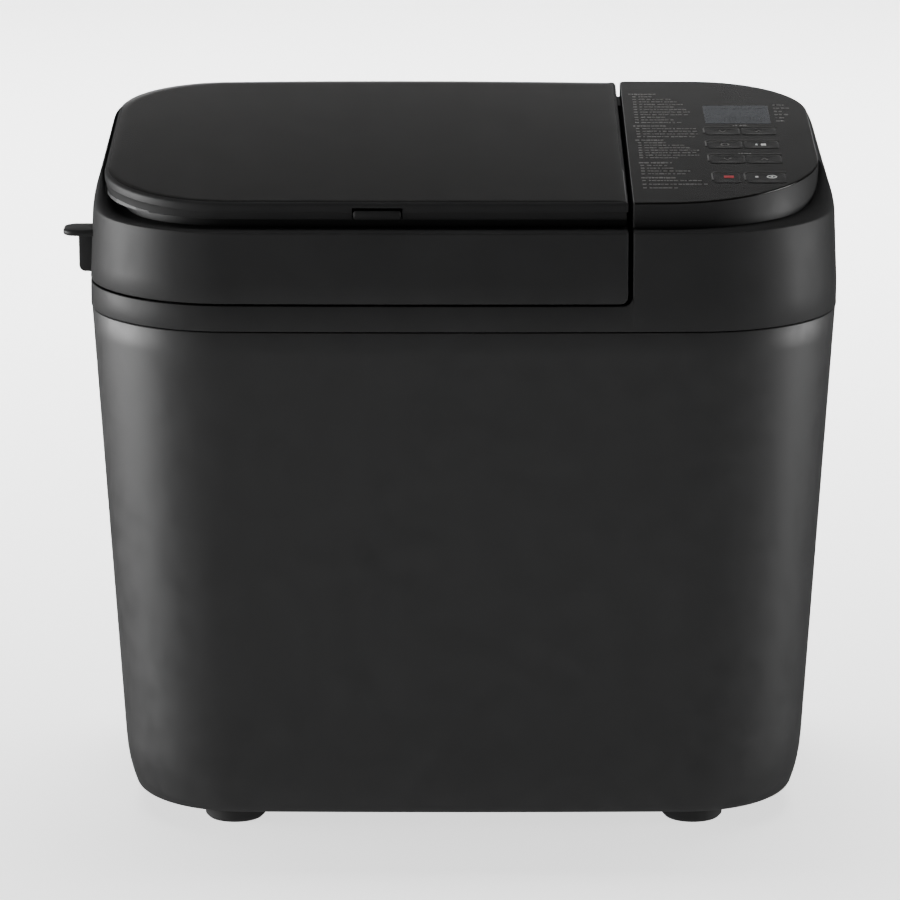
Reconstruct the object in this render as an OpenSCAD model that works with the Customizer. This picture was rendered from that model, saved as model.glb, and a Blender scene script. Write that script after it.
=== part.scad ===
// Upright bread machine. +X is its right seen from the front, +Y its back, +Z up.
// The origin is on the table, in the middle of the bounding box. Millimetres.

/* [Body] */
// Width of the body at the seam, without the lift tab
body_w = 394; // [388:1:400]
// Depth of the body at the seam
body_d = 252; // [250:1:258]
// Overall height
body_h = 362; // [358:1:366]
// Plan radius of the body's corners at the seam
corner_r = 74; // [66:1:80]
// How far the front and back bulge past a straight line
face_bow = 3.4; // [0:0.2:5]
// Narrowing of each side from the seam to the foot
side_taper = 17.4; // [12:0.2:20]
// Narrowing of the front and the back from the seam to the foot
face_taper = 7.2; // [4:0.2:9]
// Inward curl of the wall at its lower edge
foot_curl = 4.4; // [0:0.2:6]
// Height of the feet
foot_h = 9; // [6:0.5:12]

/* [Top] */
// Height of the seam between the case and the band
seam_z = 272; // [271:0.5:273]
// Height of the band's top, where the lid closes on it
band_top = 286; // [285.6:0.1:286.4]
// Height of the ledge that runs round below the top
ledge_z = 324; // [322:0.5:326]
// Height of the top plate at its front edge
top_front_z = 338; // [337:0.5:339]
// Distance of the top plate's front edge behind the body's front
top_inset = 11; // [10:0.5:12]
// Left edge of the control panel, from the body's middle
panel_x = 87; // [86:0.5:88]
// Gap between the lid and the control panel
lid_gap = 3; // [2.4:0.1:3.2]

/* [Oven] */
// Middle of the baking chamber, from the body's middle
oven_x = -50; // [-51:0.5:-49]
// Half width of the chamber inside
oven_a = 112; // [111.5:0.5:113]
// Half depth of the chamber inside
oven_b = 91; // [90.5:0.5:92]
// Height of the chamber's floor
oven_floor = 72; // [72:0.5:73]
// Half width of the bread pan
pan_a = 95; // [92:0.5:95]
// Half depth of the bread pan
pan_b = 62; // [60:0.5:62]
// Height of the bread pan's rim
pan_rim = 234; // [225:1:235]

/* [Motion] */
// Travel of each key
key_travel = 0.8; // [0.4:0.1:0.9]
// Radial clearance of the running fits
run_fit = 0.05; // [0.03:0.01:0.08]

/* [Hidden] */

half_w = body_w / 2;
half_d = body_d / 2;
wall = 2.6;
big = 500;
grip_reach = 14;
// The lift tab sticks out on the left only, so the body's middle lies right of the origin.
body_x = grip_reach / 2;

// The top is one sloping plane.
top_front_y = top_inset - half_d;
top_back_y = 122;
top_slope = atan((body_h - top_front_z) / (top_back_y - top_front_y));
function top_z(y) = top_front_z + (y - top_front_y) * tan(top_slope);

// Plan outline: a rounded rectangle whose front and back bulge by bow.
arc_steps = 9;
bow_steps = 8;
corner_signs = [[1, -1], [1, 1], [-1, 1], [-1, -1]];
function bulge(p, a, b, bow) = [p[0], p[1] + p[1] / b * bow * (1 - pow(p[0] / a, 2))];
function corner_arc(c, a, b, r) =
    [for (i = [0:arc_steps])
        let (t = 90 * (c - 1) + 90 * i / arc_steps)
        [corner_signs[c][0] * (a - r) + r * cos(t), corner_signs[c][1] * (b - r) + r * sin(t)]];
function face_run(a, b, r, side) =
    [for (i = [1:bow_steps - 1]) [side * (a - r) * (1 - 2 * i / bow_steps), side * b]];
function plan(a, b, r, bow = 0) =
    let (line = concat(corner_arc(0, a, b - bow, r), corner_arc(1, a, b - bow, r),
                       bow > 0 ? face_run(a, b - bow, r, 1) : [],
                       corner_arc(2, a, b - bow, r), corner_arc(3, a, b - bow, r),
                       bow > 0 ? face_run(a, b - bow, r, -1) : []))
    [for (p = line) bulge(p, a, b - bow, bow)];

module placed() { translate([body_x, 0, 0]) children(); }
module at_oven(z = 0) { translate([body_x + oven_x, 0, z]) children(); }

module prism(points, z0, z1) {
    translate([0, 0, z0]) linear_extrude(z1 - z0) polygon(points);
}
module block(lo, hi) { translate(lo) cube(hi - lo); }
module disc(r, z0, z1, fn = 64) { translate([0, 0, z0]) cylinder(r = r, h = z1 - z0, $fn = fn); }
module ring(r0, r1, z0, z1) {
    translate([0, 0, z0]) rotate_extrude($fn = 72) translate([r0, 0]) square([r1 - r0, z1 - z0]);
}
module rod_x(r, x0, x1, fn = 32) {
    translate([x0, 0, 0]) rotate([0, 90, 0]) cylinder(r = r, h = x1 - x0, $fn = fn);
}
module rod_y(r, y0, y1, fn = 32) {
    translate([0, y0, 0]) rotate([-90, 0, 0]) cylinder(r = r, h = y1 - y0, $fn = fn);
}
// A slab between two depths below the sloping top.
module top_slab(deep0, deep1, y0 = -half_d, y1 = half_d, x0 = -big, x1 = big) {
    translate([x0, 0, 0]) rotate([90, 0, 90]) linear_extrude(x1 - x0)
        polygon([[y0, top_z(y0) - deep1], [y1, top_z(y1) - deep1],
                 [y1, top_z(y1) - deep0], [y0, top_z(y0) - deep0]]);
}
module below_top(deep) { top_slab(deep, big); }
// A place on the sloping top, with +Z square to it.
module on_top(x, y) { translate([x, y, top_z(y)]) rotate([top_slope, 0, 0]) children(); }
module slab(w, d, z0, z1) { translate([-w / 2, -d / 2, z0]) cube([w, d, z1 - z0]); }

// A skin closed by rings of points: each ring joins the next, and the last joins the first.
module closed_skin(rings) {
    n = len(rings[0]);
    m = len(rings);
    points = [for (r = rings) for (p = r) p];
    faces = [for (i = [0:m - 1]) for (j = [0:n - 1])
                let (a = i * n + j, b = i * n + (j + 1) % n,
                     c = ((i + 1) % m) * n + (j + 1) % n, d = ((i + 1) % m) * n + j)
                each [[a, c, b], [a, d, c]]];
    polyhedron(points = points, faces = faces);
}
// A round tube along points that lie in one plane with the given normal.
module tube(path, r, normal, sides = 10) {
    n = len(path);
    rings = [for (i = [0:n - 1])
        let (t = path[min(i + 1, n - 1)] - path[max(i - 1, 0)], dir = t / norm(t),
             out = cross(dir, normal))
        [for (k = [0:sides - 1])
            path[i] + r * (cos(360 * k / sides) * out + sin(360 * k / sides) * normal)]];
    points = [for (g = rings) for (p = g) p];
    faces = concat(
        [for (i = [0:n - 2]) for (k = [0:sides - 1])
            let (a = i * sides + k, b = i * sides + (k + 1) % sides)
            each [[a, b + sides, a + sides], [a, b, b + sides]]],
        [[for (k = [sides - 1:-1:0]) k]],
        [[for (k = [0:sides - 1]) (n - 1) * sides + k]]);
    polyhedron(points = points, faces = faces);
}

// ---- Outer shell ----
case_fall = seam_z - foot_h;
curl_h = 31;
curl_power = 2.2;
corner_shrink = 17;
function case_inset(z, taper) =
    taper * (seam_z - z) / case_fall
    + (z < foot_h + curl_h ? foot_curl * pow((foot_h + curl_h - z) / curl_h, curl_power) : 0);
function case_ring(z, skin) =
    [for (p = plan(half_w - 0.5 - case_inset(z, side_taper) - skin,
                   half_d - 0.4 - case_inset(z, face_taper) - skin,
                   corner_r - corner_shrink * (seam_z - z) / case_fall - skin, face_bow)) [p[0], p[1], z]];
case_levels = [foot_h, foot_h + 3, foot_h + 8, foot_h + 16, foot_h + curl_h, 120, 200, seam_z];
gland_at = [128, 46];
gland_r = 9;
function case_face_y(z) = half_d - 0.4 - case_inset(z, face_taper);

module outer_case() {
    last = len(case_levels) - 1;
    color("#34363a") placed() difference() {
        closed_skin(concat([for (z = case_levels) case_ring(z, 0)],
                           [for (i = [last:-1:0]) case_ring(case_levels[i], wall)]));
        translate([gland_at[0], 0, gland_at[1]]) rod_y(gland_r, 90, half_d + 9, 48);
    }
}

base_a = half_w - side_taper - foot_curl - wall - 1;
base_b = half_d - face_taper - foot_curl - wall - 1;
base_r = corner_r - corner_shrink - wall;
base_top = foot_h + 3;
foot_places = [for (sx = [-1, 1]) for (sy = [-1, 1]) [sx * 122, sy * 86]];
leg_places = [[-138, -62], [-138, 62], [20, -90], [20, 90], [148, -62], [148, 66]];
foot_stem_r = 6;
screw_r = 2;
module base_plate() {
    color("#2b2c2f") placed() difference() {
        union() {
            prism(plan(base_a, base_b, base_r, face_bow), foot_h, base_top);
            difference() {
                prism(plan(base_a - 1, base_b - 1, base_r - 1, face_bow), foot_h, base_top + 9);
                prism(plan(base_a - 3, base_b - 3, base_r - 3, face_bow), foot_h - 1, base_top + 10);
            }
        }
        for (p = foot_places) translate([p[0], p[1], 0]) disc(foot_stem_r, foot_h - 1, base_top + 1);
        for (p = leg_places) translate([p[0], p[1], 0]) disc(screw_r, foot_h - 1, base_top + 1, 32);
        for (i = [0:9]) translate([92 + 7 * i, 0, 0]) block([0, -48, foot_h - 1], [3, 48, base_top + 1]);
    }
}

module feet() {
    color("#151516") placed() for (p = foot_places) translate([p[0], p[1], 0])
        rotate_extrude($fn = 64)
            polygon([[0, 0], [14.5, 0], [16, 1.6], [17, foot_h], [foot_stem_r, foot_h],
                     [foot_stem_r, base_top], [foot_stem_r + 2, base_top],
                     [foot_stem_r + 1, base_top + 2.5],
                     [0, base_top + 2.5]]);
}

module case_screws() {
    color("#9a9c9f") placed() for (p = leg_places) translate([p[0], p[1], 0])
        rotate_extrude($fn = 32)
            polygon([[0, foot_h - 2.2], [3.2, foot_h - 2.2], [4, foot_h - 1.2], [4, foot_h],
                     [screw_r, foot_h], [screw_r, base_top + 9], [0, base_top + 9]]);
}

// The upper part of the lid and of the panel stands back from the body's front.
upper_a = half_w - 4;
upper_r = 54;
upper_bow = 2;
upper_mid = (top_back_y + top_front_y) / 2;
upper_b = (top_back_y - top_front_y) / 2;
function upper_plan(inset) =
    [for (p = plan(upper_a - inset, upper_b - inset, upper_r - inset, upper_bow)) p + [0, upper_mid]];
function body_plan(inset) = plan(half_w - inset, half_d - inset, corner_r - inset, face_bow);

overlay_t = 0.8;
deck_under = band_top - wall;
oven_r = 26;
oven_skin = 1;
function oven_plan(out) = plan(oven_a + out, oven_b + out, oven_r + out);

// Keys: [x, y, width, depth] on the sloping top.
key_pairs_x = [139.5, 158.9];
key_w = 18.4;
key_rows = [[18.6, 13.8], [-7.2, 14.2], [-34.6, 16], [-69.8, 18.4]];
stop_key = [137.5, 13.4];
start_key = [158, 20.4];
function key_box(row, col) =
    row < 3 ? [key_pairs_x[col], key_rows[row][0], key_w, key_rows[row][1]]
            : (col == 0 ? [stop_key[0], key_rows[3][0], stop_key[1], key_rows[3][1]]
                        : [start_key[0], key_rows[3][0], start_key[1], key_rows[3][1]]);
key_gap = 0.35;
window_mid = [148.8, 52.6];
window_w = 35.8;
window_d = 36.4;
module panel_openings() {
    for (row = [0:3]) for (col = [0, 1]) {
        k = key_box(row, col);
        on_top(k[0], k[1]) slab(k[2] + 2 * key_gap, k[3] + 2 * key_gap, -6, 2);
    }
    on_top(window_mid[0], window_mid[1]) slab(window_w, window_d, -6, 2);
}

module upper_frame() {
    color("#222325") placed() difference() {
        union() {
            prism(body_plan(0), seam_z, band_top);
            intersection() {
                prism(body_plan(0), seam_z, ledge_z);
                block([panel_x, -half_d - 1, 0], [half_w + 1, half_d + 1, big]);
            }
            intersection() {
                prism(upper_plan(0), seam_z, body_h + 10);
                block([panel_x, -half_d - 1, 0], [half_w + 1, half_d + 1, big]);
                below_top(overlay_t);
            }
        }
        intersection() {
            prism(body_plan(wall), seam_z - 1, ledge_z - wall);
            block([panel_x + wall, -half_d, 0], [half_w, half_d, big]);
        }
        intersection() {
            prism(upper_plan(wall), seam_z - 1, body_h + 10);
            block([panel_x + wall, -half_d, 0], [half_w, half_d, big]);
            below_top(overlay_t + wall);
        }
        prism(body_plan(wall), seam_z - 1, deck_under);
        translate([oven_x, 0, 0]) prism(oven_plan(0), seam_z, band_top + 1);
        panel_openings();
    }
}

module panel_overlay() {
    color("#2c2b29") placed() difference() {
        intersection() {
            prism(upper_plan(0.6), seam_z, body_h + 10);
            block([panel_x + 0.6, -half_d, 0], [half_w, half_d, big]);
            top_slab(0, overlay_t);
        }
        panel_openings();
    }
}

module display_window() {
    color("#5f6a75") placed() on_top(window_mid[0], window_mid[1]) slab(window_w, window_d, -1.6, 0);
}
board_deep = 14;
module display_module() {
    color("#8f9a94") placed() on_top(window_mid[0], window_mid[1])
        slab(window_w - 2, window_d - 2, -board_deep, -4);
}
module control_board() {
    color("#1f5a3c") placed() on_top(138, 0) difference() {
        slab(88, 182, -board_deep - 1.6, -board_deep);
        for (sx = [-1, 1]) for (sy = [-1, 1]) translate([sx * 39, sy * 86, 0])
            disc(1.6, -board_deep - 3, -board_deep + 1, 24);
    }
}
stem_end = -9;
module key_switches() {
    color("#202020") placed() for (row = [0:3]) for (col = [0, 1]) {
        k = key_box(row, col);
        on_top(k[0], k[1]) {
            slab(6, 6, -board_deep, -board_deep + 2.6);
            disc(1.7, -board_deep + 2.6, stem_end - key_travel - 0.2, 24);
        }
    }
}
module key_cap(row, col) {
    k = key_box(row, col);
    color(row == 3 && col == 0 ? "#4a2a2c" : "#2f2e2c") placed() on_top(k[0], k[1]) {
        slab(k[2], k[3], -3.6, 0.6);
        disc(2, stem_end, -3.6, 24);
    }
}

// ---- Baking chamber and heater ----
module baking_chamber() {
    color("#8d9093") at_oven() difference() {
        union() {
            prism(oven_plan(oven_skin), oven_floor, deck_under);
            prism(oven_plan(8), deck_under - oven_skin, deck_under);
        }
        prism(oven_plan(0), oven_floor + oven_skin, deck_under + 1);
        disc(12, oven_floor - 1, oven_floor + 2);
        for (sx = [-1, 1]) translate([sx * heater_out, 0, heater_z]) rod_y(bush_r, 80, 110);
        translate([0, 0, sensor_z]) rod_y(sensor_r, 80, 110);
    }
}
heater_z = 96;
heater_rod = 3.3;
heater_a = 107.5;
heater_b = 86;
heater_r = 30;
heater_out = 16;
bush_r = 5.5;
tail_y = 106;
function heater_corner(c) =
    [for (i = [0:6]) let (t = 90 * (c - 1) + 15 * i)
        [corner_signs[c][0] * (heater_a - heater_r) + heater_r * cos(t),
         corner_signs[c][1] * (heater_b - heater_r) + heater_r * sin(t), 0]];
heater_path = concat(
    [[-heater_out, tail_y, 0], [-heater_out, heater_b + 3, 0], [-heater_out - 3, heater_b, 0]],
    heater_corner(2), heater_corner(3), heater_corner(0), heater_corner(1),
    [[heater_out + 3, heater_b, 0], [heater_out, heater_b + 3, 0], [heater_out, tail_y, 0]]);
module heater_element() {
    color("#5b5a58") at_oven(heater_z) tube(heater_path, heater_rod, [0, 0, 1]);
}
module heater_bushes() {
    color("#e8e4da") for (sx = [-1, 1]) at_oven(heater_z) translate([sx * heater_out, 0, 0])
        difference() {
            union() {
                rod_y(bush_r, oven_b, oven_b + 8, 48);
                rod_y(bush_r + 2.5, oven_b + oven_skin, oven_b + 4, 48);
            }
            rod_y(heater_rod + 0.1, oven_b - 1, oven_b + 9, 48);
        }
}
sensor_z = 150;
sensor_r = 4;
module temperature_sensor() {
    color("#b9bbbd") at_oven(sensor_z) {
        rod_y(sensor_r, oven_b - 9, oven_b + 10, 40);
        rod_y(sensor_r + 5, oven_b + oven_skin, oven_b + 3, 40);
    }
}
fuse_z = 190;
module thermal_fuse() {
    color("#c9b26a") at_oven(fuse_z) {
        block([oven_a + oven_skin, -11, -6], [oven_a + oven_skin + 1.2, 11, 6]);
        translate([oven_a + oven_skin + 3.4, 0, 0]) rod_y(2.4, -8, 8);
    }
}

// ---- Chassis and drive ----
chassis_z = 52;
chassis_t = 3;
bearing_or = 11;
bearing_h = 7;
shaft_r = 4;
tower_top = 71;
motor_at = [118 - oven_x, 16];
mount_r = 46;
board_x = 152;
upright_y = [-48, 68];
upright_top = 250;
module chassis() {
    color("#a7a9ab") at_oven() difference() {
        union() {
            prism([for (p = plan(151, 94, 22)) p + [56, 0]], chassis_z, chassis_z + chassis_t);
            disc(16, chassis_z, tower_top);
            for (p = leg_places) translate([p[0] - oven_x, p[1], 0]) disc(6, base_top, chassis_z);
            for (sx = [-1, 1]) for (sy = [-1, 1]) translate([sx * 82, sy * 62, 0])
                disc(6, chassis_z, oven_floor);
            for (y = upright_y) block([board_x - oven_x + 1.6, y - 6, chassis_z],
                                      [board_x - oven_x + 3.6, y + 6, upright_top]);
        }
        for (p = leg_places) translate([p[0] - oven_x, p[1], 0])
            disc(screw_r, base_top - 1, base_top + 14, 32);
        disc(bearing_or, chassis_z + 1, tower_top + 1);
        disc(8, chassis_z - 1, chassis_z + 2);
        translate([motor_at[0], motor_at[1], 0]) {
            disc(15, chassis_z - 1, chassis_z + chassis_t + 1);
            for (t = [45:90:315]) rotate(t) translate([mount_r, 0, 0])
                disc(3, chassis_z - 1, chassis_z + chassis_t + 1, 32);
        }
    }
}
module shaft_bearings() {
    color("#c8cacc") at_oven() for (z = [chassis_z + 1, tower_top - bearing_h])
        ring(shaft_r + run_fit, bearing_or, z, z + bearing_h);
}
pulley_lo = 34;
pulley_hi = 48;
large_r = 54;
small_r = 10;
dog_z = oven_floor + 3.5;
module drive_shaft() {
    color("#d0d2d4") at_oven() {
        disc(shaft_r, pulley_lo - 3, dog_z + 0.5);
        ring(shaft_r, shaft_r + 2.5, pulley_lo - 2, pulley_lo - 1);
    }
}
module wedge_ring(r0, r1, z0, z1, half_angle, turn) {
    reach = r1 * 1.5;
    intersection() {
        ring(r0, r1, z0, z1);
        rotate(turn) translate([0, 0, z0 - 1]) linear_extrude(z1 - z0 + 2)
            polygon([[0, 0], [reach, -reach * tan(half_angle)], [reach, reach * tan(half_angle)]]);
    }
}
dog_r0 = 11;
dog_r1 = 17;
dog_half = 14;
module drive_coupling() {
    color("#b4b6b8") at_oven() {
        difference() {
            union() {
                disc(dog_r1 + 1, dog_z, dog_z + 1.5);
                disc(8, oven_floor - 0.5, dog_z + 1.5);
            }
            disc(shaft_r, oven_floor - 2, dog_z + 0.5);
        }
        for (turn = [0, 180]) wedge_ring(dog_r0, dog_r1, dog_z + 1.5, dog_z + 8, dog_half, turn);
    }
}
module large_pulley() {
    color("#3a3a3c") at_oven() {
        difference() {
            union() {
                ring(large_r - 5, large_r, pulley_lo, pulley_hi);
                ring(large_r, large_r + 2, pulley_lo, pulley_lo + 2);
                ring(large_r, large_r + 2, pulley_hi - 2, pulley_hi);
                ring(shaft_r, 14, pulley_lo, pulley_hi);
                ring(12, large_r - 4, pulley_lo + 5, pulley_lo + 9);
            }
            for (t = [0:60:300]) rotate(t) translate([31, 0, 0]) disc(9, pulley_lo, pulley_hi, 48);
        }
    }
}
belt_gap = 0.35;
belt_t = 2;
motor_span = norm(motor_at);
motor_dir = atan2(motor_at[1], motor_at[0]);
function belt_line(out) =
    let (r1 = large_r + belt_gap + out, r2 = small_r + belt_gap + out,
         beta = acos((r1 - r2) / motor_span), sweep1 = 360 - 2 * beta, sweep2 = 2 * beta)
    concat([for (i = [0:40]) let (t = motor_dir + beta + sweep1 * i / 40) r1 * [cos(t), sin(t)]],
           [for (i = [0:24]) let (t = motor_dir - beta + sweep2 * i / 24)
               motor_at + r2 * [cos(t), sin(t)]]);
module drive_belt() {
    color("#19191a") at_oven() difference() {
        prism(belt_line(belt_t), pulley_lo + 2.5, pulley_hi - 2.5);
        prism(belt_line(0), pulley_lo, pulley_hi);
    }
}
stator_z0 = 64;
stator_z1 = 120;
stator_r = 40;
module at_motor() { at_oven() translate([motor_at[0], motor_at[1], 0]) children(); }
module motor_stator() {
    color("#70727a") at_motor() difference() {
        union() {
            disc(stator_r, stator_z0, stator_z1, 96);
            disc(26, stator_z1, stator_z1 + 4);
            disc(14, stator_z0 - 4, stator_z0);
            disc(mount_r + 7, stator_z0, stator_z0 + 3, 96);
        }
        disc(20.6, stator_z0 + 4, stator_z1 - 4, 96);
        disc(shaft_r + run_fit, stator_z0 - 5, stator_z1 + 5);
        for (t = [45:90:315]) rotate(t) translate([mount_r, 0, 0])
            disc(3, stator_z0 - 1, stator_z0 + 4, 32);
    }
}
module motor_mounts() {
    color("#1d1d1e") at_motor() for (t = [45:90:315]) rotate(t) translate([mount_r, 0, 0]) {
        disc(7, chassis_z + chassis_t, stator_z0, 40);
        disc(3, chassis_z, chassis_z + chassis_t, 32);
        disc(3, stator_z0, stator_z0 + 3, 32);
        disc(5.5, stator_z0 + 3, stator_z0 + 5, 32);
    }
}
fan_z = 132;
module motor_rotor() {
    color("#c2c4c6") at_motor() {
        disc(shaft_r, pulley_lo - 3, fan_z + 10);
        ring(shaft_r, 20, stator_z0 + 8, stator_z1 - 8);
    }
}
module motor_pulley() {
    color("#b0b2b4") at_motor() {
        ring(shaft_r, small_r, pulley_lo, pulley_hi);
        ring(small_r, small_r + 2, pulley_lo, pulley_lo + 1.5);
        ring(small_r, small_r + 2, pulley_hi - 1.5, pulley_hi);
    }
}
fan_blades = 7;
module cooling_fan() {
    color("#e3e2de") at_motor() {
        ring(shaft_r, 10, fan_z, fan_z + 9);
        for (i = [0:fan_blades - 1]) rotate(360 * i / fan_blades) translate([9.5, 0, fan_z + 4.5])
            rotate([28, 0, 0]) block([0, -6, -0.7], [24, 6, 0.7]);
    }
}
module run_capacitor() {
    color("#d9dadb") placed() translate([108, -66, 0]) {
        disc(15, chassis_z + chassis_t, 112);
        disc(12, 112, 114);
        for (x = [-5, 5]) block([x - 0.4, -3, 114], [x + 0.4, 3, 122]);
    }
}
module power_board() {
    color("#356b46") placed() {
        block([board_x, -60, 160], [board_x + 1.6, 76, 256]);
        block([board_x - 24, -52, 174], [board_x, -22, 206]);
        block([board_x - 16, -8, 172], [board_x, 12, 188]);
        block([board_x - 16, 22, 172], [board_x, 42, 188]);
        for (y = [-44, -26, -8]) translate([0, y, 232])
            rod_x(7, board_x - 20, board_x);
    }
}
module cord_gland() {
    face = case_face_y(gland_at[1]);
    color("#141415") placed() translate([gland_at[0], 0, gland_at[1]]) difference() {
        union() {
            rod_y(gland_r, face - 10, face + 1, 48);
            rod_y(gland_r + 3, face - 10, face - 6, 48);
            rod_y(gland_r - 2, face + 1, face + 3, 48);
        }
        rod_y(3.5, face - 11, face + 4, 40);
    }
}

// ---- Pan dock, pan and kneader ----
dock_r = 50;
tab_lo = oven_floor + 10;
tab_half = 9;
lug_half = 6;
module pan_dock() {
    z = oven_floor + oven_skin;
    color("#97999c") at_oven() {
        difference() {
            union() {
                ring(dock_r, dock_r + 3, z, tab_lo + 3);
                ring(dock_r, dock_r + 12, z, z + 2);
            }
            for (t = [45:90:315]) rotate(t) translate([dock_r + 8, 0, 0]) disc(2, z - 1, z + 3, 24);
        }
        for (turn = [0, 180]) wedge_ring(dock_r - 4, dock_r + 0.5, tab_lo, tab_lo + 3, tab_half, turn);
    }
}
pan_floor = oven_floor + 16;
pan_r = 25;
pan_t = 2;
ear_z = pan_rim - 8;
handle_pin = 2.4;
module bread_pan() {
    color("#55575a") at_oven() {
        difference() {
            union() {
                prism(plan(pan_a, pan_b, pan_r), pan_floor, pan_rim);
                prism(plan(pan_a + 3, pan_b + 3, pan_r + 3), pan_rim - 3, pan_rim);
                for (sx = [-1, 1]) translate([0, 0, ear_z]) scale([sx, 1, 1])
                    rod_x(6, pan_a - 1, pan_a + 3, 40);
            }
            prism(plan(pan_a - pan_t, pan_b - pan_t, pan_r - pan_t), pan_floor + pan_t, pan_rim + 1);
            disc(8, pan_floor - 1, pan_floor + pan_t + 1);
            translate([0, 0, ear_z]) rod_x(handle_pin + 0.08, -pan_a - 8, pan_a + 8, 40);
        }
    }
}
boss_r = 8;
bush_or = 6;
module pan_base() {
    color("#8b8d90") at_oven() {
        ring(38, 43, oven_floor + 5, pan_floor);
        ring(bush_or, 40, pan_floor - 3, pan_floor);
        ring(bush_or, boss_r, pan_floor - 3, pan_floor + 9);
        for (turn = [0, 180])
            wedge_ring(42.5, dock_r - 1.4, oven_floor + 6, oven_floor + 9, lug_half, turn);
    }
}
module pan_bush() {
    color("#b08d57") at_oven() ring(shaft_r + run_fit, bush_or, pan_floor - 3, pan_floor + 9);
}
handle_reach = 70;
handle_corner = 33;
handle_wire = 2.8;
handle_end = 4;
handle_x = pan_a + 6.4;
module pan_handle() {
    z = [0, 0, 1];
    path = concat(
        [[handle_x, handle_end, 0], [handle_x, -10, 0]],
        [for (i = [0:9]) let (t = -10 * i) [handle_x - handle_corner + handle_corner * cos(t),
            -handle_reach + handle_corner + handle_corner * sin(t), 0]],
        [for (i = [0:9]) let (t = -90 - 10 * i) [-handle_x + handle_corner + handle_corner * cos(t),
            -handle_reach + handle_corner + handle_corner * sin(t), 0]],
        [[-handle_x, -10, 0], [-handle_x, handle_end, 0]]);
    color("#bfc1c3") at_oven(ear_z) {
        tube(path, handle_wire, z);
        for (s = [[pan_a - 6, handle_x], [-handle_x, -pan_a + 6]]) rod_x(handle_pin, s[0], s[1], 40);
    }
}
shaft_lo = oven_floor + 5.5;
module pan_shaft() {
    color("#d5d7d9") at_oven() disc(shaft_r, shaft_lo, pan_floor + 34);
}
module wing_coupling() {
    color("#aeb0b3") at_oven() {
        ring(shaft_r, 7, shaft_lo, shaft_lo + 6);
        for (turn = [90, 270]) wedge_ring(6.8, dog_r1 - 1, shaft_lo, shaft_lo + 6, dog_half, turn);
    }
}
blade_z = pan_floor + 11;
module kneading_blade() {
    color("#4b4d50") at_oven() {
        ring(shaft_r, 9, blade_z, blade_z + 24);
        difference() {
            hull() {
                translate([6, -2, blade_z]) cube([6, 4, 30]);
                translate([30, -1.5, blade_z]) cube([14, 3, 13]);
            }
            disc(8.5, blade_z - 1, blade_z + 40);
        }
    }
}

// ---- Main lid ----
lid_right = panel_x - lid_gap;
skirt_lo = band_top + 1;
lid_deck = band_top + 4;
deck_t = 2.5;
plate_t = 9;
lid_gap_front = 7;
hinge_y = half_d - 7;
hinge_z = band_top + 7.6;
hinge_r = 6.4;
pin_r = 2;
barrel_runs = [[-114, -101], [-87, 39], [53, 72]];
knuckle_runs = [[-100.5, -87.5], [39.5, 52.5]];
plate_hinge_y = top_back_y - 4.6;
plate_hinge_z = top_z(plate_hinge_y) - 4.6;
plate_barrel_r = 4.4;
plate_pin_r = 1.5;
ear_runs = [[-84, -76], [24, 32]];
ear_drop = 16;
plate_runs = [[-130, -84.5], [-75.5, 23.5], [32.5, 60]];
box_x = [-110, -30];
box_y = [-20, 34];
box_wall = 1.5;
flap_y = 32;
flap_z = 280.2;
flap_pin = 2;
function lid_upper_plan(inset) =
    [for (p = plan(upper_a - inset, upper_b - inset - lid_gap_front / 2, upper_r - inset, upper_bow))
        p + [0, upper_mid + lid_gap_front / 2]];
module left_of_slot(edge) { block([-big, -half_d - 1, 0], [edge, half_d + 1, big]); }

module lid_skirt() {
    color("#222325") placed() difference() {
        union() {
            difference() {
                intersection() {
                    union() {
                        prism(body_plan(0), skirt_lo, ledge_z);
                        prism(lid_upper_plan(0), skirt_lo, body_h);
                    }
                    left_of_slot(lid_right);
                    below_top(plate_t + 0.6);
                }
                intersection() {
                    union() {
                        prism(body_plan(wall), lid_deck + deck_t, ledge_z - wall);
                        prism(lid_upper_plan(wall), lid_deck + deck_t, body_h + 1);
                        prism(body_plan(wall), skirt_lo - 1, lid_deck);
                    }
                    left_of_slot(lid_right - wall);
                }
                block([-big, hinge_y, skirt_lo - 1], [big, half_d + 1, hinge_z]);
                for (k = knuckle_runs) block([k[0] - 0.5, hinge_y - 9, skirt_lo - 1],
                                             [k[1] + 0.5, half_d + 1, hinge_z + 9]);
                block([-big, plate_hinge_y - 7, plate_hinge_z - plate_barrel_r - 1.6],
                      [big, half_d + 1, body_h + 1]);
            }
            intersection() {
                union() {
                    for (b = barrel_runs) {
                        translate([0, hinge_y, hinge_z]) rod_x(hinge_r, b[0], b[1], 64);
                        block([b[0], hinge_y - 4, hinge_z], [b[1], hinge_y + 5, hinge_z + 7]);
                    }
                }
                prism(body_plan(0), skirt_lo, ledge_z);
            }
            for (e = ear_runs) {
                translate([0, plate_hinge_y, plate_hinge_z]) rod_x(3.4, e[0], e[1], 48);
                block([e[0], plate_hinge_y - 3, plate_hinge_z - ear_drop],
                      [e[1], plate_hinge_y + 3, plate_hinge_z - 1]);
                block([e[0], plate_hinge_y - 3, plate_hinge_z - ear_drop],
                      [e[1], top_back_y - 1, plate_hinge_z - 10]);
            }
        }
        translate([0, hinge_y, hinge_z]) rod_x(pin_r + run_fit, -115, 73, 48);
        translate([0, plate_hinge_y, plate_hinge_z]) rod_x(plate_pin_r, -131, 61, 40);
        block([box_x[0] - 0.2, box_y[0] - 0.2, skirt_lo], [box_x[1] + 0.2, box_y[1] + 0.2, lid_deck + 3]);
        block([crank_x - 2.5, flap_y - 12, skirt_lo], [crank_x + 2.5, flap_y + 12, lid_deck + 3]);
        translate([vent_at[0], vent_at[1], 0]) disc(vent_r, skirt_lo, lid_deck + 3);
    }
}

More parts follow.
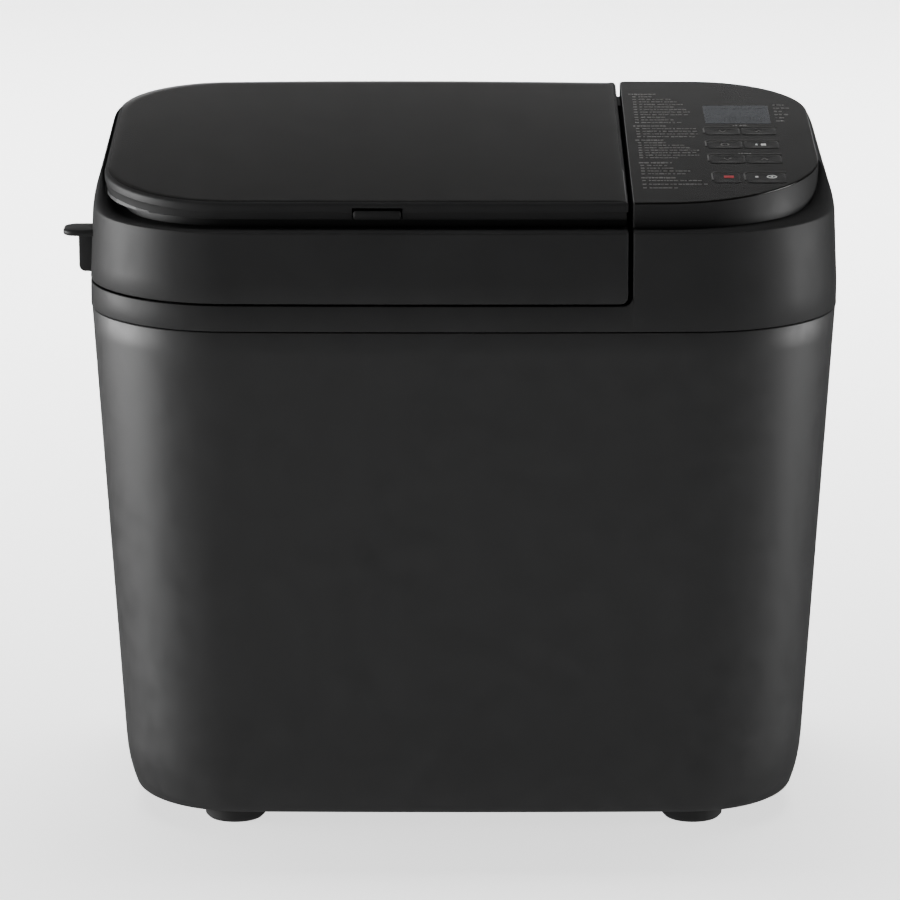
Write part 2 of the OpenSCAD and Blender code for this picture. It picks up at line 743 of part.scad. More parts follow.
vent_at = [38, 56];
vent_r = 11;
tray_z = band_top - 9;
module lid_inner_plate() {
    color("#b4b6b8") placed() difference() {
        translate([oven_x, 0, 0]) prism(oven_plan(-4), tray_z, lid_deck);
        translate([oven_x, 0, 0]) prism(oven_plan(-5.2), tray_z + 1.2, lid_deck + 1);
        block([box_x[0] - 3, box_y[0] - 3, tray_z - 1], [crank_x + 4, box_y[1] + 9, lid_deck]);
        for (x = [-12:8:12]) translate([vent_at[0] + x, vent_at[1], 0])
            disc(2.4, tray_z - 1, tray_z + 2, 32);
    }
}
module lid_seal() {
    color("#b9b6ae") placed() translate([oven_x, 0, 0]) difference() {
        prism(oven_plan(6), band_top + 0.3, lid_deck);
        prism(oven_plan(1.5), band_top, lid_deck + 1);
    }
}
box_top = 334;
box_bottom = tray_z + 1.5;
module dispenser_box() {
    color("#3b3c3f") placed() difference() {
        union() {
            block([box_x[0], box_y[0], box_bottom + 2], [box_x[1], box_y[1], box_top]);
            for (x = [box_x[0], box_x[1] - box_wall]) {
                block([x, flap_y - 4, box_bottom], [x + box_wall, box_y[1] + 2, box_bottom + 6]);
            }
        }
        block([box_x[0] + box_wall, box_y[0] + box_wall, box_bottom],
              [box_x[1] - box_wall, flap_y - 5, box_top + 1]);
        block([box_x[0] + box_wall, box_y[0] + box_wall, flap_z + 4.5],
              [box_x[1] - box_wall, box_y[1] - box_wall, box_top + 1]);
        block([box_x[0] + box_wall, flap_y - 6, box_bottom - 1],
              [box_x[1] - box_wall, box_y[1] + 3, flap_z + 4.5]);
        translate([0, flap_y, flap_z]) rod_x(flap_pin + run_fit, box_x[0] - 1, box_x[1] + 1, 40);
    }
}
module steam_vent() {
    color("#2e2f31") placed() translate([vent_at[0], vent_at[1], 0]) {
        ring(8, vent_r, tray_z + 1.2, 312);
        ring(vent_r, vent_r + 5, lid_deck + deck_t, lid_deck + deck_t + 2);
        difference() {
            disc(vent_r, 312, 314);
            for (x = [-6:4:6]) block([x - 1, -7, 311], [x + 1, 7, 315]);
        }
    }
}
solenoid_x = -8;
solenoid_z = 304;
module flap_solenoid() {
    color("#6f7176") placed() {
        difference() {
            block([solenoid_x - 13, -48, solenoid_z - 11], [solenoid_x + 13, -8, solenoid_z + 11]);
            translate([solenoid_x, 0, solenoid_z]) rod_y(5.2, -40, -7, 40);
        }
        block([solenoid_x - 13, -48, lid_deck + deck_t], [solenoid_x + 13, -8, solenoid_z - 11]);
        block([solenoid_x - 20, -44, lid_deck + deck_t], [solenoid_x - 13, -34, lid_deck + deck_t + 2]);
        block([solenoid_x + 13, -44, lid_deck + deck_t], [solenoid_x + 20, -34, lid_deck + deck_t + 2]);
    }
}
grip_y = -50;
grip_top = 313;
grip_t = 3.4;
module lid_grip() {
    color("#222325") placed() difference() {
        union() {
            prism([for (p = plan(10, 11, 6)) p + [10 - half_w - grip_reach, grip_y]],
                  grip_top - grip_t, grip_top);
            translate([0, grip_y - 3, 0]) rotate([-90, 0, 0]) linear_extrude(6)
                polygon([[-half_w - 6, -grip_top + 1], [-half_w + 8, -grip_top + 1],
                         [-half_w + 8, -skirt_lo - 2], [-half_w - 3, -skirt_lo - 2],
                         [-half_w - 5, -skirt_lo - 3.2], [-half_w - 6, -skirt_lo - 5.5]]);
        }
        prism(body_plan(0), seam_z, ledge_z + 1);
    }
}
module lid_hinge_pin() {
    color("#c0c2c4") placed() translate([0, hinge_y, hinge_z]) rod_x(pin_r, -113, 71, 48);
}
module hinge_knuckles() {
    color("#222325") placed() difference() {
        for (k = knuckle_runs) {
            translate([0, hinge_y, hinge_z]) rod_x(hinge_r, k[0], k[1], 64);
            block([k[0], hinge_y - hinge_r + 0.2, band_top], [k[1], hinge_y + hinge_r - 0.2, hinge_z]);
        }
        translate([0, hinge_y, hinge_z]) rod_x(pin_r, -115, 73, 48);
    }
}
module plate_hinge_pin() {
    color("#c0c2c4") placed() translate([0, plate_hinge_y, plate_hinge_z]) rod_x(plate_pin_r, -128, 58, 40);
}

// ---- Dispenser lid ----
recess_x = -44.5;
recess_w = 26;
recess_deep = 9;
plate_wall = 2.4;
module top_plate() {
    color("#1f1e1d") placed() difference() {
        union() {
            intersection() {
                prism(upper_plan(0), seam_z, body_h + 10);
                left_of_slot(lid_right);
                top_slab(0, plate_t, -half_d, plate_hinge_y);
            }
            intersection() {
                for (b = plate_runs) translate([0, plate_hinge_y, plate_hinge_z])
                    rod_x(plate_barrel_r, b[0], b[1], 64);
                left_of_slot(lid_right);
            }
        }
        translate([0, plate_hinge_y, plate_hinge_z]) rod_x(plate_pin_r + run_fit, -131, 61, 40);
        for (e = ear_runs) block([e[0] - 0.5, plate_hinge_y - 8, plate_hinge_z - 9],
                                 [e[1] + 0.5, half_d, plate_hinge_z + 3.7]);
        block([recess_x - recess_w / 2, top_front_y - 2, top_front_z - plate_t - 3],
              [recess_x + recess_w / 2, top_front_y + recess_deep, top_front_z - 5.5]);
        intersection() {
            prism(upper_plan(plate_wall), seam_z, body_h + 10);
            left_of_slot(lid_right - plate_wall);
            top_slab(plate_wall, plate_t + 1, top_front_y + recess_deep + plate_wall, plate_hinge_y - 11);
        }
    }
}
module plate_liner() {
    color("#4a4b4d") placed() intersection() {
        prism(lid_upper_plan(wall + 3), seam_z, body_h + 10);
        left_of_slot(lid_right - wall - 2.4);
        top_slab(plate_t, plate_t + 2, -half_d, plate_hinge_y - 14);
    }
}

// ---- Dispenser flap and its solenoid ----
crank_x = -26.2;
crank_len = 17;
crank_lean = 30;
fork_x = -10;
module dispenser_flap() {
    pin = [crank_len * sin(crank_lean), crank_len * cos(crank_lean)];
    color("#b4b6b8") placed() translate([0, flap_y, flap_z]) {
        rod_x(flap_pin, box_x[0] - 1.5, crank_x, 40);
        block([box_x[0] + 2.2, box_y[0] + 2.2 - flap_y, -1.5], [box_x[1] - 2.2, -0.6, -0.1]);
        rod_x(3.2, crank_x - 1.8, crank_x + 1.8, 40);
        rotate([-crank_lean, 0, 0])
            block([crank_x - 1.4, -2.3, 0.3], [crank_x + 1.4, 2.3, crank_len + 0.4]);
        translate([0, pin[0], pin[1]]) rod_x(1.7, crank_x - 0.6, fork_x + 2, 32);
    }
}
module solenoid_plunger() {
    rest_y = flap_y + crank_len * sin(crank_lean);
    pin_z = flap_z + crank_len * cos(crank_lean);
    color("#c8cacc") placed() {
        translate([solenoid_x, 0, solenoid_z]) {
            rod_y(5, -22, 16, 40);
            rod_y(8, 13, 16, 40);
            rod_y(2.5, 16, rest_y + 5, 32);
        }
        difference() {
            block([fork_x - 2, rest_y - 6, pin_z - 1.6], [fork_x + 2, rest_y + 6, solenoid_z + 3]);
            block([fork_x - 3, rest_y - 2.5, pin_z - 3], [fork_x + 3, rest_y + 2.5, pin_z + 5]);
        }
    }
}
spring_turns = 5;
module plunger_spring() {
    color("#9fa1a3") placed() translate([solenoid_x, 0, solenoid_z]) for (i = [0:spring_turns - 1])
        translate([0, -7.4 + i * 20.4 / spring_turns, 0]) difference() {
            rod_y(7, 0, 1, 40);
            rod_y(6, -1, 2, 40);
        }
}

outer_case();
base_plate();
feet();
upper_frame();
panel_overlay();
display_window();
display_module();
control_board();
key_switches();
baking_chamber();
heater_element();
heater_bushes();
temperature_sensor();
thermal_fuse();
chassis();
pan_dock();
shaft_bearings();
drive_belt();
motor_stator();
motor_mounts();
run_capacitor();
power_board();
cord_gland();
lid_hinge_pin();
hinge_knuckles();
case_screws();
drive_shaft();
drive_coupling();
large_pulley();
motor_rotor();
motor_pulley();
cooling_fan();
bread_pan();
pan_base();
pan_bush();
pan_handle();
pan_shaft();
wing_coupling();
kneading_blade();
lid_skirt();
lid_inner_plate();
lid_seal();
dispenser_box();
steam_vent();
flap_solenoid();
lid_grip();
plate_hinge_pin();
top_plate();
plate_liner();
dispenser_flap();
solenoid_plunger();
plunger_spring();
key_cap(0, 0);  // key_menu_down
key_cap(0, 1);  // key_menu_up
key_cap(1, 0);  // key_size
key_cap(1, 1);  // key_crust
key_cap(2, 0);  // key_time_down
key_cap(2, 1);  // key_time_up
key_cap(3, 0);  // key_stop
key_cap(3, 1);  // key_start
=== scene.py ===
import math
import random

import bmesh
import bpy
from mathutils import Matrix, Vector
from mathutils.geometry import delaunay_2d_cdt


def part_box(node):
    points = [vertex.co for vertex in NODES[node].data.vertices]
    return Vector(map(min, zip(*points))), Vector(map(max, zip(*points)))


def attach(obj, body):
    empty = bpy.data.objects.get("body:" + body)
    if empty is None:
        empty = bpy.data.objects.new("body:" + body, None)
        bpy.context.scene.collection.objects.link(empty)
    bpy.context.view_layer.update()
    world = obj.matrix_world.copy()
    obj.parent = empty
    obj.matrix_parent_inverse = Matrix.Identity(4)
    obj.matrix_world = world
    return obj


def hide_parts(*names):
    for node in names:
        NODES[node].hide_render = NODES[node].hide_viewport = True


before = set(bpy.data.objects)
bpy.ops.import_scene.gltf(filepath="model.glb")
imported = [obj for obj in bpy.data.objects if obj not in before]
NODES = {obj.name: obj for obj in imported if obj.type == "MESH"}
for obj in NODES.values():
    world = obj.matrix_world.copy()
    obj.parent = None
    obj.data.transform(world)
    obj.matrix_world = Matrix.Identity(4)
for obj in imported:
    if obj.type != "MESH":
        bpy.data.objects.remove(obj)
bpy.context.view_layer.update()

# A bread machine. Shapes are in millimetres from the middle of the body; piece() turns them into metres.
MM = 1000.0
# The lift tab puts the frame's middle beside the body's.
BODY_X = sum((v * MM).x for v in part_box("outer_case")) / 2


def cad(node):
    """The lowest and highest corner of a CAD node, in millimetres from the middle of the body."""
    lo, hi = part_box(node)
    shift = Vector((BODY_X, 0, 0))
    return lo * MM - shift, hi * MM - shift


def middle(node):
    """The middle of a CAD node's box."""
    return tuple((a + b) / 2 for a, b in zip(*cad(node)))


case_lo, case_hi = cad("outer_case")
frame_hi = cad("upper_frame")[1]
plate_hi = cad("top_plate")[1]
OVEN_X = middle("baking_chamber")[0]

# Levels and plan sizes
FOOT_Z = case_lo.z
SEAM_Z = case_hi.z
BAND_TOP = SEAM_Z + 14
LEDGE_Z = SEAM_Z + 52
HALF_W = frame_hi.x
HALF_D = frame_hi.y
CORNER_R = 74
BOW = 3.4
PANEL_EDGE = 87
LID_EDGE = plate_hi.x
WALL = 2.6
PLATE_T = 9
FRONT_Y = -115
BACK_Y = 121.8
FRONT_Z = 338
SLOPE = math.atan(24 / 237)
UPPER_A = 188.9
PANEL_A = 187.7
FILM_R = 84
PLATE_R = 66


def top_z(y):
    """Height of the sloping top at that depth."""
    return FRONT_Z + (y - FRONT_Y) * math.tan(SLOPE)


def crown(x, y):
    """The lid's plate rises a little in its middle, towards the back."""
    across = max(0.0, 1 - ((x + 52) / 137) ** 2)
    along = min(1.0, max(0.0, (y - FRONT_Y) / (BACK_Y - FRONT_Y)))
    return 1.0 * across * along


def smooth(t):
    t = min(1.0, max(0.0, t))
    return t * t * (3 - 2 * t)


def mix(a, b, t):
    return a + (b - a) * t


def circle(cx, cy, r, n=40):
    """n points round a circle, anticlockwise."""
    turns = [2 * math.pi * i / n for i in range(n)]
    return [(cx + r * math.cos(a), cy + r * math.sin(a)) for a in turns]


def at(points, z):
    """Points of a plan at one height, at a list of heights, or at the height z(x, y)."""
    if callable(z):
        return [(x, y, z(x, y)) for x, y in points]
    heights = z if isinstance(z, list) else [z] * len(points)
    return [(x, y, h) for (x, y), h in zip(points, heights)]


# ---- Plan outlines ----
CORNER_STEPS = 22
FACE_STEPS = 30
SIDE_STEPS = 12
SIGNS = {"fr": (1, -1, -90), "br": (1, 1, 0), "bl": (-1, 1, 90), "fl": (-1, -1, 180)}
RUNS = {
    "all": ["front", "fr", "right", "br", "back", "bl", "left", "fl"],
    "left": ["back", "bl", "left", "fl", "front"],
    "right": ["front", "fr", "right", "br", "back"],
}
ENDS = {"front": ("fl", "fr"), "right": ("fr", "br"), "back": ("br", "bl"), "left": ("bl", "fl")}


class Outline:
    """A rounded rectangle whose front and back bulge. Each ring(inset) of it has the same columns.
    part "left" or "right" is open where it meets the slot beside the control panel."""

    def __init__(self, x0, x1, y0, y1, r, bow=0.0, part="all", steps=(FACE_STEPS, SIDE_STEPS, CORNER_STEPS)):
        self.x0, self.x1, self.y0, self.y1 = x0, x1, y0 + bow, y1 - bow
        self.r = r if isinstance(r, dict) else dict.fromkeys(SIGNS, r)
        self.bow, self.part = bow, part
        self.mid, self.b = (y0 + y1) / 2, (y1 - y0) / 2 - bow
        self.cols = []
        runs = RUNS[part]
        for run in runs:
            if run in SIGNS:
                self.cols += [(run, i / steps[2]) for i in range(steps[2] + 1)]
                continue
            n = steps[0] if run in ("front", "back") else steps[1]
            first = 0 if part != "all" and run == runs[0] else 1
            last = n if part != "all" and run == runs[-1] else n - 1
            self.cols += [(run, i / n) for i in range(first, last + 1)]
        self.side = [self._side(c) for c in self.cols]
        self.rear = [self._rear(c) for c in self.cols]

    def _side(self, col):
        """0 along the front, rising to 1 round a front corner, and 1 elsewhere."""
        run, f = col
        return {"front": 0.0, "fr": f, "fl": 1 - f}.get(run, 1.0)

    def _rear(self, col):
        """1 along the back, falling to 0 round a rear corner."""
        run, f = col
        return {"back": 1.0, "br": f, "bl": 1 - f}.get(run, 0.0)

    def _centre(self, k, t):
        sx, sy, _ = SIGNS[k]
        r = self.r[k]
        push = max(r, t + 0.25)
        return (self.x1 if sx > 0 else self.x0) - sx * push, (self.y1 if sy > 0 else self.y0) - sy * push

    def _point(self, col, t):
        run, f = col
        if run in SIGNS:
            cx, cy = self._centre(run, t)
            r = max(self.r[run] - t, 0.25)
            a = math.radians(SIGNS[run][2] + 90 * f)
            return cx + r * math.cos(a), cy + r * math.sin(a)
        a, b = ENDS[run]
        (ax, ay), (bx, by) = self._centre(a, t), self._centre(b, t)
        if run in ("front", "back"):
            if self.part == "left":
                ax, bx = (self.x1, bx) if run == "back" else (ax, self.x1)
            if self.part == "right":
                ax, bx = (self.x0, bx) if run == "front" else (ax, self.x0)
            return mix(ax, bx, f), (self.y0 + t if run == "front" else self.y1 - t)
        return (self.x1 - t if run == "right" else self.x0 + t), mix(ay, by, f)

    def ring(self, inset=0.0):
        insets = inset if isinstance(inset, list) else [inset] * len(self.cols)
        out = []
        for col, t in zip(self.cols, insets):
            x, y = self._point(col, t)
            bulge = self.bow * (1 - (x / HALF_W) ** 2) if self.bow else 0.0
            out.append((x, y + (y - self.mid) / self.b * bulge))
        return out


# ---- Mesh building ----
def triangles(loops):
    """Triangles of a flat outline (the first loop) with holes, as indices into all loops end to end."""
    flat = [Vector(p[:2]) for lp in loops for p in lp]
    edges, base = [], 0
    for lp in loops:
        edges += [(base + j, base + (j + 1) % len(lp)) for j in range(len(lp))]
        base += len(lp)
    _, _, faces, origin, _, _ = delaunay_2d_cdt(flat, edges, [], 0, 1e-6)
    kept = []
    for f in faces:
        t = [origin[i][0] for i in f]
        c = (flat[t[0]] + flat[t[1]] + flat[t[2]]) / 3
        crossed = 0
        for i, j in edges:
            a, b = flat[i], flat[j]
            if (a.y > c.y) != (b.y > c.y) and c.x < a.x + (c.y - a.y) * (b.x - a.x) / (b.y - a.y):
                crossed += 1
        if crossed % 2:
            kept.append(t)
    return kept


class Solid:
    """Vertices and faces of one piece, in millimetres, with a material index for each face."""

    def __init__(self):
        self.verts, self.faces, self.tags = [], [], []

    def add(self, verts, faces, tag=0):
        base = len(self.verts)
        self.verts += [tuple(v) for v in verts]
        self.faces += [[base + i for i in f] for f in faces]
        self.tags += [tag] * len(faces)

    def skin(self, rings, path_closed=True, profile_closed=False, ends="cap", tag=0):
        """Quads between rings of equal length. ends closes the first and last ring, or an open path's two ends."""
        n, m = len(rings[0]), len(rings)
        verts = [p for r in rings for p in r]
        faces = []
        for i in range(m if profile_closed else m - 1):
            for j in range(n if path_closed else n - 1):
                a, b = i * n, (i + 1) % m * n
                k = (j + 1) % n
                faces.append([a + j, a + k, b + k, b + j])
        if profile_closed and not path_closed:
            faces.append([i * n for i in range(m)])
            faces.append([i * n + n - 1 for i in reversed(range(m))])
        elif not profile_closed and ends == "cap":
            faces.append(list(reversed(range(n))))
            faces.append(list(range((m - 1) * n, m * n)))
        elif not profile_closed and ends == "points":
            for base, flip in ((0, True), ((m - 1) * n, False)):
                centre = sum((Vector(p) for p in rings[0 if flip else -1]), Vector()) / n
                verts.append(centre)
                c = len(verts) - 1
                for j in range(n):
                    k = (j + 1) % n
                    faces.append([c, base + k, base + j] if flip else [c, base + j, base + k])
        self.add(verts, faces, tag)

    def plate(self, outer, holes, z0, z1, tag=0):
        """A flat sheet with holes between the heights z0(x, y) and z1(x, y)."""
        loops = [list(outer)] + [list(h) for h in holes]
        flat = [p for lp in loops for p in lp]
        n = len(flat)
        tris = triangles(loops)
        verts = [(x, y, z0(x, y)) for x, y in flat] + [(x, y, z1(x, y)) for x, y in flat]
        faces = []
        for t in tris:
            a, b, c = (Vector(flat[i]) for i in t)
            tri = t if (b - a).cross(c - a) > 0 else t[::-1]
            faces += [[n + i for i in tri], tri[::-1]]
        base = 0
        for lp in loops:
            k = len(lp)
            faces += [[base + j, base + (j + 1) % k, n + base + (j + 1) % k, n + base + j] for j in range(k)]
            base += k
        self.add(verts, faces, tag)

    def block(self, lo, hi, tag=0):
        self.plate([(lo[0], lo[1]), (hi[0], lo[1]), (hi[0], hi[1]), (lo[0], hi[1])], [],
                   lambda x, y: lo[2], lambda x, y: hi[2], tag)

    def turned(self, axis, origin, profile, steps=48, tag=0, bore=False):
        """A solid of revolution: profile holds (distance along the axis, radius) from one end to the other.
        With a bore, the profile is closed on itself."""
        rings = []
        for d, r in profile:
            ring = []
            for i in range(steps):
                a = 2 * math.pi * i / steps
                u, v = r * math.cos(a), r * math.sin(a)
                x, y, z = {"x": (d, u, v), "y": (v, d, u), "z": (u, v, d)}[axis]
                ring.append((origin[0] + x, origin[1] + y, origin[2] + z))
            rings.append(ring)
        self.skin(rings, profile_closed=bore, ends="cap", tag=tag)

    def rod(self, axis, origin, r, a, b, steps=48, tag=0, soft=0.4):
        """A cylinder with softened rims."""
        self.turned(axis, origin, [(a, r - soft), (a + soft * 0.3, r - soft * 0.3), (a + soft, r),
                                   (b - soft, r), (b - soft * 0.3, r - soft * 0.3), (b, r - soft)], steps, tag)

    def tube(self, path, r, sides=14, tag=0, closed=False):
        """A round tube along a path, with its ends capped."""
        pts = [Vector(p) for p in path]
        n = len(pts)
        rings, side = [], None
        for i, p in enumerate(pts):
            nxt = pts[(i + 1) % n] if closed or i < n - 1 else p
            prv = pts[i - 1] if closed or i > 0 else p
            t = (nxt - prv).normalized()
            if side is None:
                side = t.orthogonal().normalized()
            side = (side - t * side.dot(t)).normalized()
            up = t.cross(side)
            rings.append([p + r * (math.cos(2 * math.pi * k / sides) * side + math.sin(2 * math.pi * k / sides) * up)
                          for k in range(sides)])
        self.skin(rings, profile_closed=closed, ends="cap", tag=tag)


def rounded(x0, x1, y0, y1, r, steps=6):
    """The points of a plain rounded rectangle, anticlockwise."""
    return Outline(x0, x1, y0, y1, r, steps=(1, 1, steps)).ring()


def mesh_of(name, solid):
    mesh = bpy.data.meshes.new(name)
    mesh.from_pydata([((x + BODY_X) / MM, y / MM, z / MM) for x, y, z in solid.verts], [], solid.faces)
    return mesh


def add_object(name, data):
    """A new object, linked to the scene."""
    obj = bpy.data.objects.new(name, data)
    bpy.context.scene.collection.objects.link(obj)
    return obj


SMOOTH_ANGLE = 38


def piece(name, solid, mats, body, replaces=(), angle=SMOOTH_ANGLE, weld=False):
    """Turns a Solid into a Blender object that rides on a CAD body."""
    mesh = mesh_of(name, solid)
    mats = mats if isinstance(mats, (list, tuple)) else [mats]
    for m in mats:
        mesh.materials.append(m)
    mesh.polygons.foreach_set("material_index", solid.tags)
    obj = add_object(name, mesh)
    tidy(obj, angle, weld)
    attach(obj, body)
    if replaces:
        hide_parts(*replaces)
    return obj


def tidy(obj, angle=SMOOTH_ANGLE, weld=False):
    """Joins doubles if asked, faces the normals outwards and shades smooth up to an angle."""
    bm = bmesh.new()
    bm.from_mesh(obj.data)
    if weld:
        bmesh.ops.remove_doubles(bm, verts=bm.verts, dist=2e-6)
    bmesh.ops.dissolve_degenerate(bm, edges=bm.edges, dist=1e-6)
    bmesh.ops.recalc_face_normals(bm, faces=bm.faces)
    for f in bm.faces:
        f.smooth = True
    for e in bm.edges:
        e.smooth = e.is_manifold and e.calc_face_angle(0) < math.radians(angle)
    bm.to_mesh(obj.data)
    bm.free()


def cut(obj, cutters, angle=SMOOTH_ANGLE):
    """Takes closed Solids away from a piece."""
    for i, cutter in enumerate(cutters):
        tool = add_object(f"cutter_{i}", mesh_of("cutter", cutter))
        tidy(tool)
        mod = obj.modifiers.new("cut", "BOOLEAN")
        mod.operation, mod.solver, mod.object = "DIFFERENCE", "EXACT", tool
        bpy.context.view_layer.update()
        shape = bpy.data.meshes.new_from_object(obj.evaluated_get(bpy.context.evaluated_depsgraph_get()))
        obj.modifiers.clear()
        obj.data = shape
        bpy.data.objects.remove(tool)
    tidy(obj, angle)


# ---- Materials ----
def put(node, values):
    """Sets a node's sockets by name."""
    for socket, value in values.items():
        node.inputs[socket].default_value = value


def finish_of(name, colour, rough, metal=0.0, grain=2400.0, depth=0.02, mottle=0.08, span=0.06,
              stretch=(1, 1, 1), spec=0.5, tint=None):
    """A procedural finish: mottled colour, varying gloss and a fine grain. tint is the mottle's second colour."""
    mat = bpy.data.materials.new(name)
    mat.use_nodes = True
    tree = mat.node_tree
    new, link = tree.nodes.new, tree.links.new
    shader = tree.nodes["Principled BSDF"]
    coords = new("ShaderNodeTexCoord")
    place = new("ShaderNodeMapping")
    put(place, {"Scale": stretch})
    link(coords.outputs["Object"], place.inputs["Vector"])

    def noise(scale, detail):
        n = new("ShaderNodeTexNoise")
        put(n, {"Scale": scale, "Detail": detail})
        link(place.outputs["Vector"], n.inputs["Vector"])
        return n

    broad, fine = noise(grain / 60, 3), noise(grain, 4)
    ramp = new("ShaderNodeValToRGB")
    second = tint or [c * (1 - mottle) for c in colour]
    ramp.color_ramp.elements[0].position, ramp.color_ramp.elements[1].position = 0.3, 0.7
    ramp.color_ramp.elements[0].color = (*second, 1)
    ramp.color_ramp.elements[1].color = (*[min(1, c * (1 + mottle)) for c in colour], 1)
    blend = new("ShaderNodeMix")
    put(blend, {"Factor": 0.35})
    link(broad.outputs["Fac"], blend.inputs["A"])
    link(fine.outputs["Fac"], blend.inputs["B"])
    link(blend.outputs["Result"], ramp.inputs["Fac"])
    link(ramp.outputs["Color"], shader.inputs["Base Color"])
    gloss = new("ShaderNodeMapRange")
    put(gloss, {"From Min": 0.3, "From Max": 0.7})
    put(gloss, {"To Min": max(0.02, rough - span), "To Max": min(1.0, rough + span)})
    link(blend.outputs["Result"], gloss.inputs["Value"])
    link(gloss.outputs["Result"], shader.inputs["Roughness"])
    bump = new("ShaderNodeBump")
    put(bump, {"Strength": min(1.0, depth * 8), "Distance": depth / MM})
    link(fine.outputs["Fac"], bump.inputs["Height"])
    link(bump.outputs["Normal"], shader.inputs["Normal"])
    put(shader, {"Metallic": metal, "Specular IOR Level": spec})
    mat.diffuse_color = (*colour, 1)
    return mat


def look(*args, **more):
    """One row of the table of finishes: what finish_of takes after the name."""
    return args, more


BRUSH_X = (0.06, 1, 1)
BRUSH_Z = (1, 1, 0.05)
FINISHES = {
    "case_shell": look((0.020, 0.020, 0.0202), 0.46, grain=5200, depth=0.004),
    "band_plastic": look((0.0175, 0.0175, 0.0177), 0.5, grain=3600, depth=0.006, spec=0.22),
    "base_plastic": look((0.02, 0.02, 0.021), 0.5, grain=2600, depth=0.02),
    "top_plastic": look((0.0030, 0.0027, 0.0024), 0.19, grain=4200, depth=0.002, span=0.015),
    "panel_film": look((0.0032, 0.0029, 0.0026), 0.2, grain=4200, depth=0.002, span=0.015),
    "key_film": look((0.0038, 0.0035, 0.0032), 0.21, grain=4200, depth=0.002, span=0.015),
    "rubber": look((0.012, 0.012, 0.012), 0.72, grain=1500, depth=0.04),
    "print_grey": look((0.095, 0.093, 0.09), 0.5, grain=5000, depth=0.004),
    "print_red": look((0.32, 0.03, 0.035), 0.45, grain=5000, depth=0.004),
    "print_light": look((0.5, 0.5, 0.49), 0.45, grain=5000, depth=0.004),
    "lcd": look((0.027, 0.030, 0.035), 0.26, grain=900, depth=0.0, spec=0.35, tint=(0.022, 0.025, 0.030)),
    "lcd_mark": look((0.008, 0.010, 0.013), 0.3, grain=2600, depth=0.002),
    "chamber_steel": look((0.42, 0.42, 0.43), 0.34, 1.0, grain=1900, depth=0.01, stretch=BRUSH_Z, mottle=0.12),
    "lid_aluminium": look((0.55, 0.55, 0.56), 0.32, 1.0, grain=1900, depth=0.008, stretch=BRUSH_X, mottle=0.1),
    "pan_coating": look((0.045, 0.046, 0.048), 0.42, 0.35, grain=2300, depth=0.02, mottle=0.35),
    "blade_coating": look((0.03, 0.031, 0.033), 0.36, 0.3, grain=2300, depth=0.02, mottle=0.3),
    "cast_alloy": look((0.33, 0.33, 0.34), 0.5, 1.0, grain=900, depth=0.05, mottle=0.15),
    "wire_chrome": look((0.62, 0.62, 0.63), 0.16, 1.0, grain=2600, depth=0.004),
    "bright_steel": look((0.6, 0.6, 0.61), 0.24, 1.0, grain=2600, depth=0.006, stretch=BRUSH_X),
    "plated_steel": look((0.45, 0.45, 0.46), 0.36, 1.0, grain=1400, depth=0.015, mottle=0.16),
    "heater_sheath": look((0.13, 0.12, 0.11), 0.48, 0.8, grain=1300, depth=0.03, mottle=0.4, tint=(0.06,
                          0.05, 0.055)),
    "seal_silicone": look((0.42, 0.4, 0.37), 0.62, grain=1500, depth=0.02, mottle=0.1),
    "ceramic": look((0.72, 0.69, 0.62), 0.4, grain=1500, depth=0.01),
    "bronze": look((0.4, 0.25, 0.12), 0.4, 1.0, grain=1500, depth=0.02, mottle=0.2),
    "brass": look((0.5, 0.38, 0.18), 0.36, 1.0, grain=1500, depth=0.02),
    "board_green": look((0.02, 0.11, 0.05), 0.42, grain=700, depth=0.02, mottle=0.4),
    "dark_plastic": look((0.022, 0.022, 0.023), 0.48, grain=2000, depth=0.02),
    "pale_plastic": look((0.7, 0.69, 0.66), 0.45, grain=1800, depth=0.01),
    "lacquered_steel": look((0.13, 0.13, 0.15), 0.44, 0.7, grain=1200, depth=0.03, stretch=BRUSH_Z, mottle=0.3),
}
M = {name: finish_of(name + "_finish", *args, **more) for name, (args, more) in FINISHES.items()}
CAD_FINISH = {
    "base_plate": "base_plastic", "feet": "rubber", "display_module": "pale_plastic", "control_board": "board_green",
    "key_switches": "dark_plastic", "heater_bushes": "ceramic", "temperature_sensor": "bright_steel",
    "thermal_fuse": "brass", "chassis": "plated_steel", "pan_dock": "cast_alloy", "shaft_bearings": "bronze",
    "drive_belt": "rubber", "motor_stator": "lacquered_steel", "motor_mounts": "rubber",
    "run_capacitor": "pale_plastic", "power_board": "board_green", "lid_hinge_pin": "bright_steel",
    "hinge_knuckles": "band_plastic", "case_screws": "plated_steel", "drive_shaft": "bright_steel",
    "drive_coupling": "cast_alloy", "large_pulley": "dark_plastic", "motor_rotor": "lacquered_steel",
    "motor_pulley": "cast_alloy", "cooling_fan": "pale_plastic", "pan_base": "cast_alloy", "pan_bush": "bronze",
    "pan_shaft": "bright_steel", "wing_coupling": "cast_alloy", "dispenser_box": "dark_plastic",
    "steam_vent": "dark_plastic", "flap_solenoid": "lacquered_steel", "plate_hinge_pin": "bright_steel",
    "plate_liner": "dark_plastic", "dispenser_flap": "lid_aluminium", "solenoid_plunger": "bright_steel",
}
for node, finish in CAD_FINISH.items():
    for s in NODES[node].material_slots:
        s.material = M[finish]


# ---- Outer case ----
SIDE_TAPER = 0.0643


def case_inset(z):
    """How far the case's side stands inside its width at the seam."""
    curl = 4.4 * ((40 - z) / 31) ** 2.2 if z < 40 else 0.0
    return SIDE_TAPER * (SEAM_Z - z) + curl


EDGE_R = 3.2
CASE_LEVELS = [0.0, 0.12, 0.45, 1.0, 1.8, 3.2, 5, 8, 12, 17, 23, 31, 45, 70, 110, 160, 210, 250, 262.4, 262.8, 263]


